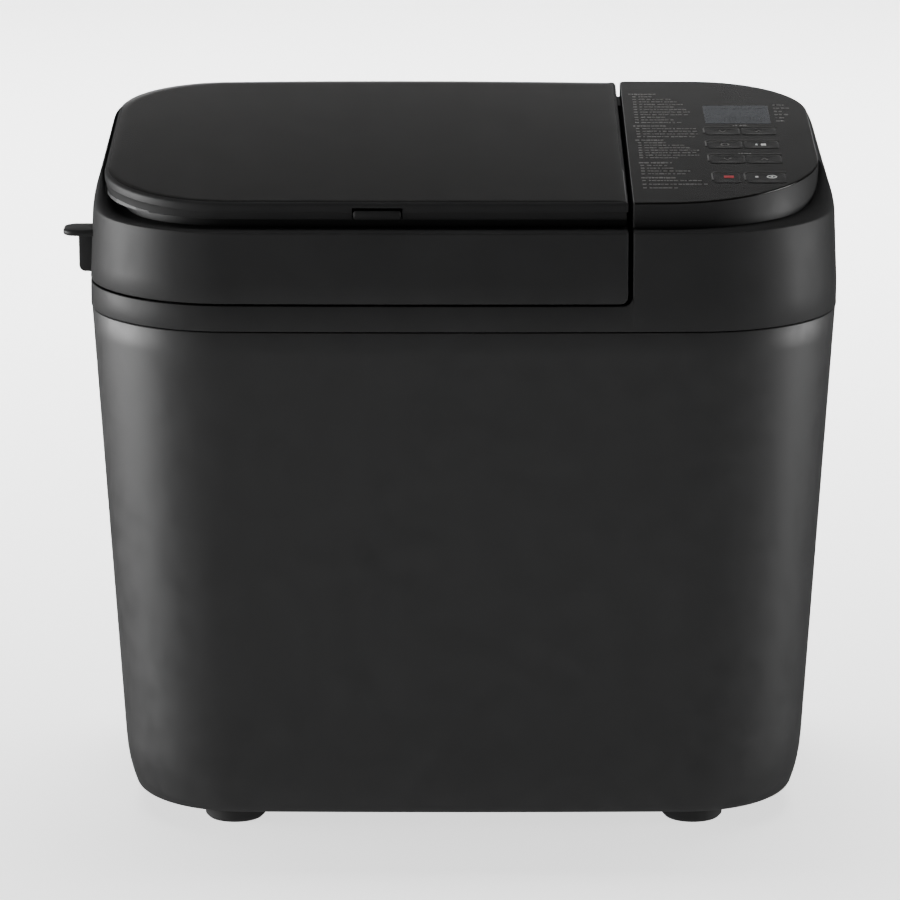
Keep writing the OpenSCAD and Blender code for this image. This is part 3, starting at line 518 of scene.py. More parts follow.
def case_rings(skin, levels):
    rings = []
    for up in levels:
        z = FOOT_Z + up
        fall = (SEAM_Z - z) / (SEAM_Z - FOOT_Z)
        round_in = EDGE_R - math.sqrt(max(0.0, EDGE_R**2 - max(0.0, EDGE_R - up) ** 2))
        lip = 0.5 * max(0.0, (up - 262.4) / 0.6) ** 2
        a = HALF_W - 0.4 - case_inset(z) - skin
        b = HALF_D - 0.2 - 7.2 * fall - (case_inset(z) - SIDE_TAPER * (SEAM_Z - z)) - skin
        r = CORNER_R - 17 * fall - skin
        o = Outline(-a, a, -b, b, r, BOW)
        rings.append(at(o.ring(round_in + lip), z))
    return rings


case = Solid()
case.skin(case_rings(0, CASE_LEVELS) + list(reversed(case_rings(WALL, CASE_LEVELS[2:-2:2] + [262.9]))),
          profile_closed=True)
outer_case = piece("case_shell", case, M["case_shell"], "housing", ["outer_case"])
gland_lo, gland_hi = cad("cord_gland")
gland_at = (gland_lo + gland_hi) / 2
hole = Solid()
hole.turned("y", (gland_at.x, 0, gland_at.z), [(100, 9), (140, 9)], 48)
cut(outer_case, [hole])

# ---- Band, panel housing and deck ----
body = dict(y0=-HALF_D, y1=HALF_D, r=CORNER_R, bow=BOW)
SEAM_GAP = 0.5
BAND_LOW = SEAM_Z + SEAM_GAP
FILLET = 5.0
BLEND_END = 90.5


def band_top_at(x):
    """The band's top edge, which curls up into the panel's wall beside the slot."""
    run = x - (PANEL_EDGE - FILLET)
    return BAND_TOP + (FILLET - math.sqrt(max(0.0, FILLET**2 - run**2)) if run > 0 else 0.0)


band_line = Outline(-HALF_W, PANEL_EDGE, part="left", **body)
# The columns crowd towards the slot, where the top edge curls.
band_line.cols = [(run, f if run not in ("front", "back") else
                   (1 - (1 - f) ** 2 if run == "front" else f**2)) for run, f in band_line.cols]
EDGE = 0.7
rings = []
for t, up in ((0.5, 0), (0.12, 0.1), (0, 0.5)):
    rings.append(at(band_line.ring(t), BAND_LOW + up))
for t, drop in ((0, EDGE), (0.2, 0.2), (EDGE, 0), (WALL - 0.4, 0), (WALL, 0.3)):
    rings.append([(x, y, band_top_at(x) - drop) for x, y in band_line.ring(t)])
rings.append(at(band_line.ring(WALL), BAND_LOW))
band = Solid()
band.skin(rings, path_closed=False, profile_closed=True)
oven_a, oven_b = 112, 91
oven_hole = Outline(OVEN_X - oven_a, OVEN_X + oven_a, -oven_b, oven_b, 26).ring()
deck_line = Outline(-HALF_W, PANEL_EDGE, -HALF_D, HALF_D, dict(fl=CORNER_R, bl=CORNER_R, fr=1, br=1), BOW)
band.plate(deck_line.ring(WALL - 0.2), [oven_hole], lambda x, y: BAND_TOP - WALL, lambda x, y: BAND_TOP - 0.15)
piece("band_and_deck", band, M["band_plastic"], "housing")

SHOULDER_STEPS = 12
TAPER = 1.7


def power_between(side):
    """Superellipse power of the shoulder: a flat ledge in front, nearly a plain slope at the side."""
    return mix(5.0, 1.35, smooth((side - 0.35) / 0.65))


def shoulder(low, high, z_low, z_high, side):
    """Points from the top of the outer wall to the crease or crest above it."""
    rings = []
    for i in range(SHOULDER_STEPS + 1):
        a = math.pi / 2 * i / SHOULDER_STEPS
        ring = []
        for p, q, z0, z1, s in zip(low, high, z_low, z_high, side):
            n = power_between(s)
            f, g = 1 - math.cos(a) ** (2 / n), math.sin(a) ** (2 / n)
            if i == SHOULDER_STEPS:
                f = 1.0
            ring.append((mix(p[0], q[0], f), mix(p[1], q[1], f), mix(z0, z1, g)))
        rings.append(ring)
    return rings


def ledge_start(side):
    """Height at which the outer wall starts to turn in."""
    return LEDGE_Z - mix(1.0, 0.0, side)


def taper(z):
    """The lid's and the panel's outer wall lean in a little towards the ledge."""
    return TAPER * max(0.0, z - BAND_TOP) / (LEDGE_Z - BAND_TOP)


RISE = 6
panel_low = Outline(BLEND_END, HALF_W, part="right", **body)
panel_high = Outline(BLEND_END, PANEL_A, FRONT_Y, BACK_Y, dict(fr=FILM_R, br=60, fl=1, bl=1), 2.0, part="right")
crease = panel_high.ring(0)
z_crease = [mix(LEDGE_Z + 0.6, top_z(p[1]) - 2.0, s**RISE) for p, s in zip(crease, panel_high.side)]
z_start = [ledge_start(s) for s in panel_low.side]
housing_rings = [at(panel_low.ring(t), BAND_LOW + up) for t, up in ((0.5, 0), (0.12, 0.1))]
housing_rings += [at(panel_low.ring(taper(z)), z) for z in (BAND_LOW + 0.5, BAND_TOP, 298, 310)]
housing_rings += shoulder(panel_low.ring([taper(z) for z in z_start]), panel_high.ring(-0.5), z_start, z_crease,
                          panel_low.side)
housing_rings += [at(panel_high.ring(t), [z + up for z in z_crease]) for t, up in ((-0.15, 0.1), (0, 0.5))]
housing_rings += [at(panel_high.ring(t), lambda x, y: top_z(y) - 0.8) for t in (0, WALL)]
housing_rings += [at(panel_high.ring(WALL), [z - WALL for z in z_crease]),
                  at(panel_low.ring(WALL + TAPER), [z - WALL - 1 for z in z_start]),
                  at(panel_low.ring(WALL), BAND_LOW)]


def end_section(rings, count, column):
    """One open end's outer profile as (y, z) points, from the bottom up."""
    return [(r[column][1], r[column][2]) for r in rings[:count]]


def normals_of(section):
    """Unit normals at the points of a closed section, all to the same side of it."""
    normals = []
    for i in range(len(section)):
        (y0, z0), (y1, z1) = section[i - 1], section[(i + 1) % len(section)]
        normal = Vector((z1 - z0, y0 - y1))
        normals.append(normal.normalized() if normal.length > 1e-6 else Vector((0, 0)))
    return normals


def bulged(x, y):
    """Moves a point of the section at BLEND_END to the same place on the bulged face at x."""
    gain = BOW * ((BLEND_END / HALF_W) ** 2 - (x / HALF_W) ** 2) / HALF_D
    return y * (1 + gain)


def slot_wall(section, xs):
    """The wall that faces the slot: one closed section swept along x, with a softened edge towards the slot."""
    rings = []
    for x, inset in xs:
        ring = []
        for (y, z), normal in zip(section, normals_of(section)):
            t = inset * above_band(z)
            ring.append((x, bulged(x, y) - normal.x * t, z - normal.y * t))
        rings.append(ring)
    return rings


outer_count = len(housing_rings) - 4
front_end = end_section(housing_rings, outer_count + 1, 0)
back_end = end_section(housing_rings, outer_count + 1, -1)


def above_band(z):
    """No softening below the band's top, where the wall runs on into the band."""
    return smooth((z - BAND_TOP - FILLET + 1) / 3)


xs = [(PANEL_EDGE, 0.9), (PANEL_EDGE + 0.12, 0.5), (PANEL_EDGE + 0.4, 0.2), (PANEL_EDGE + 0.9, 0.0), (BLEND_END, 0.0)]
wall_rings = slot_wall(back_end + list(reversed(front_end)), xs)
housing = Solid()
housing.skin(housing_rings, path_closed=False, profile_closed=True)
housing.skin(wall_rings, ends="cap")
RIB_TOP = 8
rib = [(PANEL_EDGE - 1.5, 100), (PANEL_EDGE + 1, 100), (PANEL_EDGE + 1, 119), (PANEL_EDGE - 1.5, 119)]
housing.plate(rib, [], lambda x, y: BAND_TOP - 2, lambda x, y: top_z(y) - RIB_TOP)
KEY_NODES = ["key_menu_down", "key_menu_up", "key_size", "key_crust", "key_time_down", "key_time_up",
             "key_stop", "key_start"]


window_lo, window_hi = cad("display_window")
key_boxes = {k: cad(k) for k in KEY_NODES}


def hole_round(lo, hi, gap, r):
    return rounded(lo.x - gap, hi.x + gap, lo.y - gap, hi.y + gap, r)


def plan_box(lo, hi, deep):
    """A key's cap in plan at the top's surface: its CAD box less the skew of its depth."""
    lean = math.sin(SLOPE) * deep
    return Vector((lo.x, lo.y, 0)), Vector((hi.x, hi.y - lean, 0))


KEY_GAP = 0.14
KEYS = {k: plan_box(*key_boxes[k], 3.6) for k in KEY_NODES}
holes = [hole_round(lo, hi, KEY_GAP, 1.3) for lo, hi in KEYS.values()]
win = plan_box(window_lo, window_hi, 1.6)
holes.append(hole_round(*win, 0.02, 0.8))
top_line = Outline(PANEL_EDGE, PANEL_A, FRONT_Y, BACK_Y, dict(fl=0.8, bl=3, fr=FILM_R, br=60), 2.0)
housing.plate(top_line.ring(0.9), holes, lambda x, y: top_z(y) - 0.8 - WALL, lambda x, y: top_z(y) - 0.78)
piece("panel_housing", housing, M["band_plastic"], "housing", ["upper_frame"])

overlay = Solid()
loops = []
for t, deep in ((0.15, 0.76), (0.1, 0.55), (0.16, 0.3), (0.36, 0.1), (0.7, 0.0), (1.1, 0.0)):
    loops.append([(x, y, top_z(y) - deep) for x, y in top_line.ring(t)])
overlay.skin(loops, ends=None)
for loop, deep in ((loops[-1], 0.0), (loops[0], 0.76)):
    edges = [[(x, y) for x, y, z in loop]] + holes
    overlay.add([(x, y, top_z(y) - deep) for lp in edges for x, y in lp], triangles(edges))
for h in holes:
    overlay.skin([[(x, y, top_z(y) - d) for x, y in h] for d in (0.76, 0.0)], ends=None)
piece("panel_film", overlay, M["panel_film"], "housing", ["panel_overlay"], weld=True)

# The board under the film, its front corner rounded to clear the wall.
board_lo, board_hi = cad("control_board")
board = Solid()
board_line = Outline(board_lo.x, board_hi.x, board_lo.y + 0.5, board_hi.y - 0.5, dict(fl=3, bl=3, br=24, fr=46))
board_holes = [circle(board_lo.x + 5, y, 1.6, 24) for y in (board_lo.y + 9, board_hi.y - 9)]
board.plate(board_line.ring(), board_holes, lambda x, y: top_z(y) - 15.6 / math.cos(SLOPE),
            lambda x, y: top_z(y) - 14 / math.cos(SLOPE))
piece("key_board", board, M["board_green"], "housing", ["control_board"])

# ---- Printing, keys and display on the sloping top ----
UP = Vector((0, -math.sin(SLOPE), math.cos(SLOPE)))


def lift(x, y, h):
    """The point h above the sloping top."""
    return Vector((x, y, top_z(y))) + UP * h


def ribbon(solid, path, width, low, high, tag=0):
    """A flat strip along a path on the top, softened at its edges."""
    pts = [Vector(p) for p in path]
    rows = []
    for i, p in enumerate(pts):
        t = (pts[min(i + 1, len(pts) - 1)] - pts[max(i - 1, 0)]).normalized()
        side = Vector((-t.y, t.x))
        rows.append([lift(*(p + side * s), h) for s, h in
                     ((-width / 2, low), (width / 2, low), (width / 2, mix(low, high, 0.6)),
                      (width * 0.3, high), (-width * 0.3, high), (-width / 2, mix(low, high, 0.6)))])
    solid.skin(rows, ends="cap", tag=tag)


def dash(solid, x0, x1, y, tall, high=0.06, tag=0):
    ribbon(solid, [(x0, y), (x1, y)], tall, -0.02, high, tag)


rnd = random.Random(7)
menu = Solid()
MENU_X = 92.0


def word_line(solid, x, y, reach, tall, tag=0):
    """A generic line of print: dashes of uneven length."""
    end = x + reach
    while x < end - 1.0:
        w = min(rnd.uniform(0.9, 2.6), end - x)
        dash(solid, x, x + w, y, tall * rnd.uniform(0.75, 1.1), tag=tag)
        x += w + rnd.choice((0.35, 0.35, 0.35, 1.0))


BLOCKS = [(93.4, 11, 36.4), (29.4, 4, 8.7), (1.7, 7, -31.7), (-41.2, 4, -61.8), (-69.2, 3, -87.6)]
REACHES = [[10, 22, 26, 30, 24, 32, 36, 34, 18, 22, 28], [38, 37, 38, 36], [16, 28, 30, 36, 34, 38, 22],
           [14, 18, 28, 26], [36, 38, 20]]
for (head, count, last), reaches in zip(BLOCKS, REACHES):
    word_line(menu, MENU_X - 1 + (93.4 - head) * 0.01, head, 15 if count > 5 else 19, 2.6)
    for i in range(count):
        y = mix(head - 5.0, last, i / (count - 1))
        dash(menu, MENU_X + 1, MENU_X + 3, y, 2.0)
        word_line(menu, MENU_X + 4.4, y, reaches[i] * 0.8, 1.7)
for i in range(6):
    word_line(menu, 169.5, 71.5 - 6.4 * i, (6.5, 9, 5.5, 8, 6, 4.6)[i], 2.0)
word_line(menu, 145.6, 30.4, 7.4, 2.4)
word_line(menu, 145.8, -24.0, 6.8, 2.4)
piece("panel_print", menu, M["print_grey"], "housing")


def arc(cx, cy, r, a0, a1, n=6):
    return [(cx + r * math.cos(math.radians(mix(a0, a1, i / n))), cy + r * math.sin(math.radians(mix(a0, a1, i / n))))
            for i in range(n + 1)]


# Painted highlights: a lighter strip on a low ridge runs along the top edge and down the left side of each key group,
# where the raised key edges catch the light. The bottom and right edges get none.
painted_key_highlights = Solid()
pairs = [("key_menu_down", "key_menu_up"), ("key_size", "key_crust"), ("key_time_down", "key_time_up"),
         ("key_stop", "key_stop"), ("key_start", "key_start")]
for a, b in pairs:
    x0, x1 = KEYS[a][0].x - 0.9, KEYS[b][1].x + 0.5
    y0, y1 = KEYS[a][0].y, KEYS[a][1].y + 1.0
    ribbon(painted_key_highlights, [(x1, y1), (x0 + 2, y1)] + arc(x0 + 2, y1 - 2, 2, 90, 180) + [(x0, mix(y1, y0, 0.7))],
           0.8, -0.02, 0.3)
piece("key_painted_highlights", painted_key_highlights, finish_of("key_highlight_paint", (0.06, 0.059, 0.057), 0.35, grain=4200, depth=0.004),
      "housing")


def symbol(solid, kind, x, y):
    """A generic sign on a key, as low relief."""
    def line(path, w=0.9):
        ribbon(solid, path, w, 0.05, 0.24, 1)

    if kind == "down":
        line([(x - 1.8, y + 1.8), (x, y - 1.6), (x + 1.8, y + 1.8)])
    elif kind == "up":
        line([(x - 1.8, y - 1.8), (x, y + 1.6), (x + 1.8, y - 1.8)])
    elif kind == "loaf":
        line([(x - 1.8, y - 2)] + arc(x, y + 0.8, 1.9, 180, 0, 8) + [(x + 1.8, y - 2), (x - 1.8, y - 2)], 0.8)
    elif kind == "crust":
        line([(x - 2.6, y - 1.6), (x - 2.6, y + 1.6)], 1.0)
        line([(x - 0.2, y), (x + 2.4, y)], 3.6)
    elif kind == "stop":
        line([(x - 2.6, y), (x + 2.6, y)], 4.2)
    elif kind == "start":
        line([(x - 7.2, y), (x - 5.6, y)], 2.4)
        line(arc(x + 1.5, y, 2.4, 0, 360, 16), 0.8)
        line([(x + 0.9, y), (x + 2.1, y)], 2.2)


SIGNS_ON = {"key_menu_down": "down", "key_menu_up": "up", "key_size": "loaf", "key_crust": "crust",
            "key_time_down": "down", "key_time_up": "up", "key_stop": "stop", "key_start": "start"}
for name, kind in SIGNS_ON.items():
    lo, hi = KEYS[name]
    key = Solid()
    mid_x, mid_y = (lo.x + hi.x) / 2, (lo.y + hi.y) / 2
    rings = []
    for t, h in ((0.1, -3.6), (0.0, -3.4), (0, -0.1), (0.06, 0.02), (0.25, 0.1), (0.8, 0.14), (1.4, 0.14)):
        rings.append([lift(x, y, h) for x, y in rounded(lo.x + t, hi.x - t, lo.y + t, hi.y - t, 1.2)])
    for s, h in ((0.7, 0.1), (0.3, 0.08)):
        rings.append([lift(mid_x + (x - mid_x) * s, mid_y + (y - mid_y) * s, h)
                      for x, y in rounded(lo.x + 1.4, hi.x - 1.4, lo.y + 1.4, hi.y - 1.4, 1.0)])
    key.skin(rings, ends="points")
    stem = [[lift(x, y, h) for x, y in circle(mid_x, mid_y, r, 24)]
            for h, r in ((-9, 1.7), (-8.7, 2), (-3.4, 2))]
    key.skin(stem, ends="cap")
    sign_y = mid_y + (2.2 if kind in ("stop", "start") else 0)
    symbol(key, kind, {"stop": mid_x + 1.0, "start": mid_x + 1.5}.get(kind, mid_x), sign_y)
    ink = {"stop": "print_red", "start": "print_light", "crust": "print_light"}.get(kind, "print_grey")
    piece(name + "_cap", key, [M["key_film"], M[ink]], name + "_body", [name])

lcd = Solid()
rings = []
for t, h in ((0.2, -1.6), (0, -1.4), (0, -0.25), (0.12, -0.08), (0.4, 0.0), (0.9, 0.0)):
    rings.append([lift(x, y, h) for x, y in rounded(win[0].x + t, win[1].x - t, win[0].y + t, win[1].y - t, 0.7)])
lcd.skin(rings, ends="points")
wx, wy = (win[0].x + win[1].x) / 2, (win[0].y + win[1].y) / 2


def digit(solid, x, y, lit):
    """Seven segments, 4 mm wide and 8 mm tall."""
    w, h = 2.0, 4.0
    bars = {"a": ((-w, h), (w, h)), "d": ((-w, -h), (w, -h)), "g": ((-w, 0), (w, 0)), "f": ((-w, 0.5), (-w, h - 0.5)),
            "b": ((w, 0.5), (w, h - 0.5)), "e": ((-w, -h + 0.5), (-w, -0.5)), "c": ((w, -h + 0.5), (w, -0.5))}
    for k in lit:
        (ax, ay), (bx, by) = bars[k]
        ribbon(solid, [(x + ax, y + ay), (x + bx, y + by)], 0.8, -0.02, 0.05, 1)


for x, lit in zip((-9, -3, 5, 11), ("bc", "abged", "abcdef", "abcdef")):
    digit(lcd, wx + x, wy - 9, lit)
for y in (-7.4, -10.6):
    ribbon(lcd, [(wx + 0.6, wy + y), (wx + 1.5, wy + y)], 0.9, -0.02, 0.05, 1)
for i in range(5):
    ribbon(lcd, [(wx - 14 + 6.2 * i, wy + 12), (wx - 10.4 + 6.2 * i, wy + 12)], 1.5, -0.02, 0.05, 1)
piece("display_face", lcd, [M["lcd"], M["lcd_mark"]], "housing", ["display_window"])

# ---- Main lid ----
SLOT_SIDE = LID_EDGE + 0.5
PLATE_SIDE = LID_EDGE + 0.8
LID_BLEND = SLOT_SIDE - 4.5
LID_LOW = BAND_TOP + 1
CREST_R = 64
PLATE_INSET = 7.5
_, hinge_y, hinge_z = middle("lid_hinge_pin")
_, ear_y, ear_z = middle("plate_hinge_pin")
lid_low = Outline(-HALF_W, LID_BLEND, part="left", **body)
lid_crest = Outline(-190.3, LID_BLEND, -108.0, 124.0, CREST_R, 2.0, part="left")
lid_well = Outline(-UPPER_A + PLATE_INSET, LID_BLEND, FRONT_Y + PLATE_INSET, BACK_Y - 9, CREST_R - 4, 2.0,
                   part="left")
side = lid_low.side


def lid_foot(y):
    """The skirt's lower edge, which clears the hinge at the back."""
    return LID_LOW + 7.4 * smooth((y - 107) / 10)


def crest_z(p, s):
    z = mix(LEDGE_Z + 0.6, top_z(p[1]) - 1.6, s**RISE)
    return mix(z, min(z, ear_z - 6.8), smooth((p[1] - 96) / 12))


crest = lid_crest.ring(0)
z_crest = [crest_z(p, s) for p, s in zip(crest, side)]
z_start = [ledge_start(s) for s in side]
well = lid_well.ring(0)
z_under = [min(top_z(y) - PLATE_T - 0.5, ear_z - 7.0) for x, y in well]
z_floor = [min(zc, top_z(p[1]) - PLATE_T - 1.6) for p, zc in zip(crest, z_crest)]
lid_rings = [at(lid_low.ring(t), lambda x, y: lid_foot(y) + up) for t, up in ((0.7, 0), (0.2, 0.2), (0.0, 0.7))]
lid_rings += [at(lid_low.ring(taper(z)), z) for z in (298, 311)]
lid_rings += shoulder(lid_low.ring([taper(z) for z in z_start]), crest, z_start, z_crest, side)
lid_rings += [at(lid_crest.ring(0.5), [mix(zc, zf, 0.3) for zc, zf in zip(z_crest, z_floor)]),
              at(lid_crest.ring(0.6), z_floor),
              at(lid_well.ring(-0.3), [min(zf, zu - 0.2) for zf, zu in zip(z_floor, z_under)]),
              at(well, z_under),
              at(lid_well.ring(WALL), z_under),
              at(lid_well.ring(WALL), [min(zf, zu) - WALL for zf, zu in zip(z_floor, z_under)]),
              at(lid_low.ring(WALL + TAPER), [z - WALL - 1 for z in z_start]),
              at(lid_low.ring(WALL), lambda x, y: lid_foot(y))]
lid = Solid()
lid.skin(lid_rings, path_closed=False, profile_closed=True)
lid_outer = len(lid_rings) - 4
front_end = end_section(lid_rings, lid_outer + 1, -1)
back_end = end_section(lid_rings, lid_outer + 1, 0)
RIGHT_R = 4.0
FOOT_RUN = 9
lid_xs = [(LID_BLEND + 3.5 * i / 8, 0.0) for i in range(9)]
lid_xs += [(SLOT_SIDE - 1.0 + dx, inset) for dx, inset in ((0.3, 0.05), (0.6, 0.2), (0.85, 0.48), (1.0, 1.0))]
section = back_end + list(reversed(front_end))
# Which way is outwards is read from the section's own winding.
area = sum(a[0] * b[1] - b[0] * a[1] for a, b in zip([section[-1]] + section, section))
turn = 1 if area > 0 else -1
rings = []
for x, inset in lid_xs:
    rise = RIGHT_R - math.sqrt(max(0.0, RIGHT_R**2 - max(0.0, x - (SLOT_SIDE - RIGHT_R)) ** 2))
    gain = 1 + BOW * ((LID_BLEND / HALF_W) ** 2 - (x / HALF_W) ** 2) / HALF_D
    ring = []
    for (y, z), normal in zip(section, normals_of(section)):
        t = turn * inset
        up = rise * (1 - smooth((z - LID_LOW) / FOOT_RUN))
        ring.append((x, y * gain - normal.x * t, z - normal.y * t + up))
    rings.append(ring)
lid.skin(rings, ends="cap")

DECK_Z = BAND_TOP + 4
DECK_T = 2.5
box_lo, box_hi = cad("dispenser_box")
vent_x, vent_y, _ = middle("steam_vent")
CRANK_X = box_hi.x + 3.8
lid_deck = Outline(-HALF_W, LID_BLEND + 1, -HALF_D, 113, dict(fl=CORNER_R, bl=60, fr=1, br=1), BOW)
deck_holes = [
    rounded(box_lo.x - 0.2, box_hi.x + 0.2, box_lo.y - 0.2, 34.2, 0.3, 2),
    rounded(CRANK_X - 2.5, CRANK_X + 2.5, 20, 44, 0.3, 2),
    circle(vent_x, vent_y, 11.05),
]
lid.plate(lid_deck.ring(WALL - 0.3), deck_holes, lambda x, y: DECK_Z, lambda x, y: DECK_Z + DECK_T)
BARRELS = [(-114, -101), (-87, 39), (53, 72)]
EARS = [(-84, -76), (24, 32)]
for a, b in BARRELS:
    lid.rod("x", (0, hinge_y, hinge_z), 6.4, a, b)
    lid.block((a + 0.3, hinge_y - 4, hinge_z), (b - 0.3, hinge_y + 4.6, hinge_z + 7))
for a, b in EARS:
    lid.rod("x", (0, ear_y, ear_z), 3.4, a, b)
    lid.block((a + 0.2, ear_y - 3, ear_z - 16), (b - 0.2, ear_y + 3, ear_z - 0.5))
piece("lid_shell", lid, M["band_plastic"], "main_lid", ["lid_skirt"])

# ---- Top plate ----
plate_line = Outline(-UPPER_A, PLATE_SIDE, FRONT_Y, BACK_Y, dict(fl=PLATE_R, bl=56, fr=1.6, br=4), 2.0)
ROUND = 4.4
edge = [(3.4, 2.6), (3.4, 9.0), (1.5, 9.0), (1.05, 8.8), (0.9, 8.3), (0.9, 5.4), (0.75, 5.1), (0.2, 5.0), (0.03, 4.8),
        (0.0, 4.4), (0.0, 1.9), (0.13, 1.2), (0.5, 0.6), (1.1, 0.18), (1.9, 0.0)]
round_edge = [(ROUND * 1.6, 2.6), (ROUND * 1.6, 8.8)]
for i in range(len(edge) - 2):
    a = -math.pi / 2 + math.pi * i / (len(edge) - 3)
    round_edge.append((ROUND - ROUND * math.cos(a), ROUND - ROUND * math.sin(a)))
plate = Solid()
SHRINK = [0.06, 0.2, 0.36, 0.52, 0.68, 0.84]
PLATE_MID = ((PLATE_SIDE - UPPER_A) / 2, (FRONT_Y + BACK_Y) / 2)


def shrunk(ring, s):
    return [(mix(PLATE_MID[0], x, s), mix(PLATE_MID[1], y, s)) for x, y in ring]


rings = []
inner = plate_line.ring([mix(3.4, ROUND * 1.6, smooth(r)) for r in plate_line.rear])
for s in SHRINK + [0.94]:
    rings.append([(x, y, top_z(y) - 2.6) for x, y in shrunk(inner, s)])
for (t, d), (tr, dr) in zip(edge, round_edge):
    blend = [smooth(r * 1.6 - 0.5) for r in plate_line.rear]
    line = plate_line.ring([mix(t, tr, w) for w in blend])
    rings.append([(x, y, top_z(y) - mix(d, dr, w) + (crown(x, y) * (1 - min(1, mix(d, dr, w) / 5))))
                  for (x, y), w in zip(line, blend)])
last = [(x, y) for x, y, z in rings[-1]]
for s in [0.97, 0.93] + list(reversed(SHRINK)):
    rings.append([(x, y, top_z(y) + crown(x, y)) for x, y in shrunk(last, s)])
plate.skin(rings, ends="points")
top_plate = piece("lid_top_plate", plate, [M["top_plastic"], M["band_plastic"]], "dispenser_lid", ["top_plate"])
recess = Solid()
RECESS_X, RECESS_W = -44.5, 26
recess_line = Outline(RECESS_X - RECESS_W / 2, RECESS_X + RECESS_W / 2, FRONT_Y - 4, FRONT_Y + 9, 1.5,
                      steps=(1, 1, 5)).ring()
recess.plate(recess_line, [], lambda x, y: FRONT_Z - PLATE_T - 4, lambda x, y: FRONT_Z - 2.7)
cutters = [recess]
for a, b in EARS:
    notch = Solid()
    notch.block((a - 0.5, ear_y - 8, ear_z - 9), (b + 0.5, HALF_D + 6, ear_z + 3.7))
    cutters.append(notch)
cut(top_plate, cutters)
# The glossy face ends where the rim starts to turn down.
for f in top_plate.data.polygons:
    f.material_index = 0 if f.normal.z > 0.97 and f.center.z > 0.33 else 1

catch = Solid()
rings = []
for x, t in ((-12.4, 1.2), (-12.1, 0.5), (-11.4, 0.1), (-10.6, 0), (10.6, 0), (11.4, 0.1), (12.1, 0.5), (12.4, 1.2)):
    y0, y1, z0, z1 = FRONT_Y - 0.3 + t, FRONT_Y + 9.5, FRONT_Z - 8.6 + t, FRONT_Z - 4.1 - t * 0.8
    rings.append([(RECESS_X + x, y, z) for y, z in ((y0 + 0.3, z0), (y0, z0 + 0.5), (y0, z1 - 0.7), (y0 + 0.5, z1),
                                                    (y1, z1 + 0.5), (y1, z0))])
catch.skin(rings, ends="cap")
piece("plate_catch", catch, M["band_plastic"], "dispenser_lid")

# ---- Lift tab ----
grip_lo, grip_hi = cad("lid_grip")
GRIP_Y = (grip_lo.y + grip_hi.y) / 2
grip = Solid()
tab = Outline(grip_lo.x, -HALF_W + 4, grip_lo.y + 0.4, grip_hi.y - 0.4, dict(fl=7, bl=7, fr=0.3, br=0.3),
              steps=(8, 4, 10))
rings = []
for t, z in ((1.4, 0), (0.5, 0.25), (0.1, 0.8), (0, 1.5), (0, 2.0), (0.15, 2.7), (0.6, 3.2), (1.4, 3.4)):
    rings.append(at(tab.ring(t), grip_hi.z - 3.4 + z))
grip.skin(rings, ends="points")
web = [(-HALF_W - 6, 1), (-HALF_W + 2, 1), (-HALF_W + 2, -20.6)]
web += [(-HALF_W - 2.5 + 3.5 * math.cos(a), -17.1 + 3.5 * math.sin(a))
        for a in [math.radians(-90 - 15 * i) for i in range(7)]]
rings = []
for y, t in ((-3.4, 0.9), (-3.1, 0.25), (-2.5, 0), (2.5, 0), (3.1, 0.25), (3.4, 0.9)):
    rings.append([(min(x + t, -HALF_W + 2), GRIP_Y + y, grip_hi.z - 3 + z + (t if z < -1 else 0)) for x, z in web])
grip.skin(rings, ends="cap")
piece("lid_lift_tab", grip, M["band_plastic"], "main_lid", ["lid_grip"])

# ---- Cord inlet grommet ----
gland = Solid()
gx, gy, gz = gland_at.x, gland_hi.y, gland_at.z
gland.turned("y", (gx, 0, gz), [(gy - 12.8, 3.5), (gy - 12.8, 11.6), (gy - 12.3, 12), (gy - 9, 12), (gy - 8.8, 8.9),
                                (gy - 2.4, 8.9), (gy - 2.0, 8.6), (gy - 1.8, 7.2), (gy - 0.5, 7), (gy, 6.4),
                                (gy, 3.9), (gy - 0.3, 3.5)], 64, bore=True)
piece("cord_grommet", gland, M["rubber"], "housing", ["cord_gland"])


# ---- Oven, pan and lid lining ----
def oven_line(out, a=oven_a, b=oven_b, r=26):
    return Outline(OVEN_X - a - out, OVEN_X + a + out, -b - out, b + out, r + out, steps=(14, 14, 14))


def stack(solid, line, profile, closed=True, ends="points", tag=0):
    """Rings of an outline at (inset, z) pairs."""
    solid.skin([at(line.ring(t), z) for t, z in profile],
               profile_closed=closed and ends is None, ends=ends, tag=tag)


OVEN_FLOOR = cad("baking_chamber")[0].z
DECK_UNDER = BAND_TOP - WALL
chamber = Solid()
line = oven_line(9)
stack(chamber, line, [
    (24, OVEN_FLOOR + 1), (13, OVEN_FLOOR + 1.2), (10.6, OVEN_FLOOR + 2.2), (9.5, OVEN_FLOOR + 4.6),
    (9, OVEN_FLOOR + 9), (9, OVEN_FLOOR + 60), (9, OVEN_FLOOR + 62), (8.4, OVEN_FLOOR + 64), (8.4, OVEN_FLOOR + 66),
    (9, OVEN_FLOOR + 68), (9, DECK_UNDER - 1.4), (8.6, DECK_UNDER - 0.6), (8, DECK_UNDER - 0.1), (1, DECK_UNDER),
    (1, DECK_UNDER - 1), (7.6, DECK_UNDER - 1.1), (8, DECK_UNDER - 1.6), (8, OVEN_FLOOR + 9), (8.4, OVEN_FLOOR + 4),
    (9.8, OVEN_FLOOR + 1.2), (12.4, OVEN_FLOOR + 0.2), (24, OVEN_FLOOR)], ends=None)
floor_line = line.ring(23.9)
shaft_hole = circle(OVEN_X, 0, 12)
chamber.plate(floor_line, [shaft_hole], lambda x, y: OVEN_FLOOR, lambda x, y: OVEN_FLOOR + 1)
oven = piece("oven_chamber", chamber, M["chamber_steel"], "housing", ["baking_chamber"])
BUSH_Z = middle("heater_bushes")[2]
SENSOR_Z = middle("temperature_sensor")[2]
drills = []
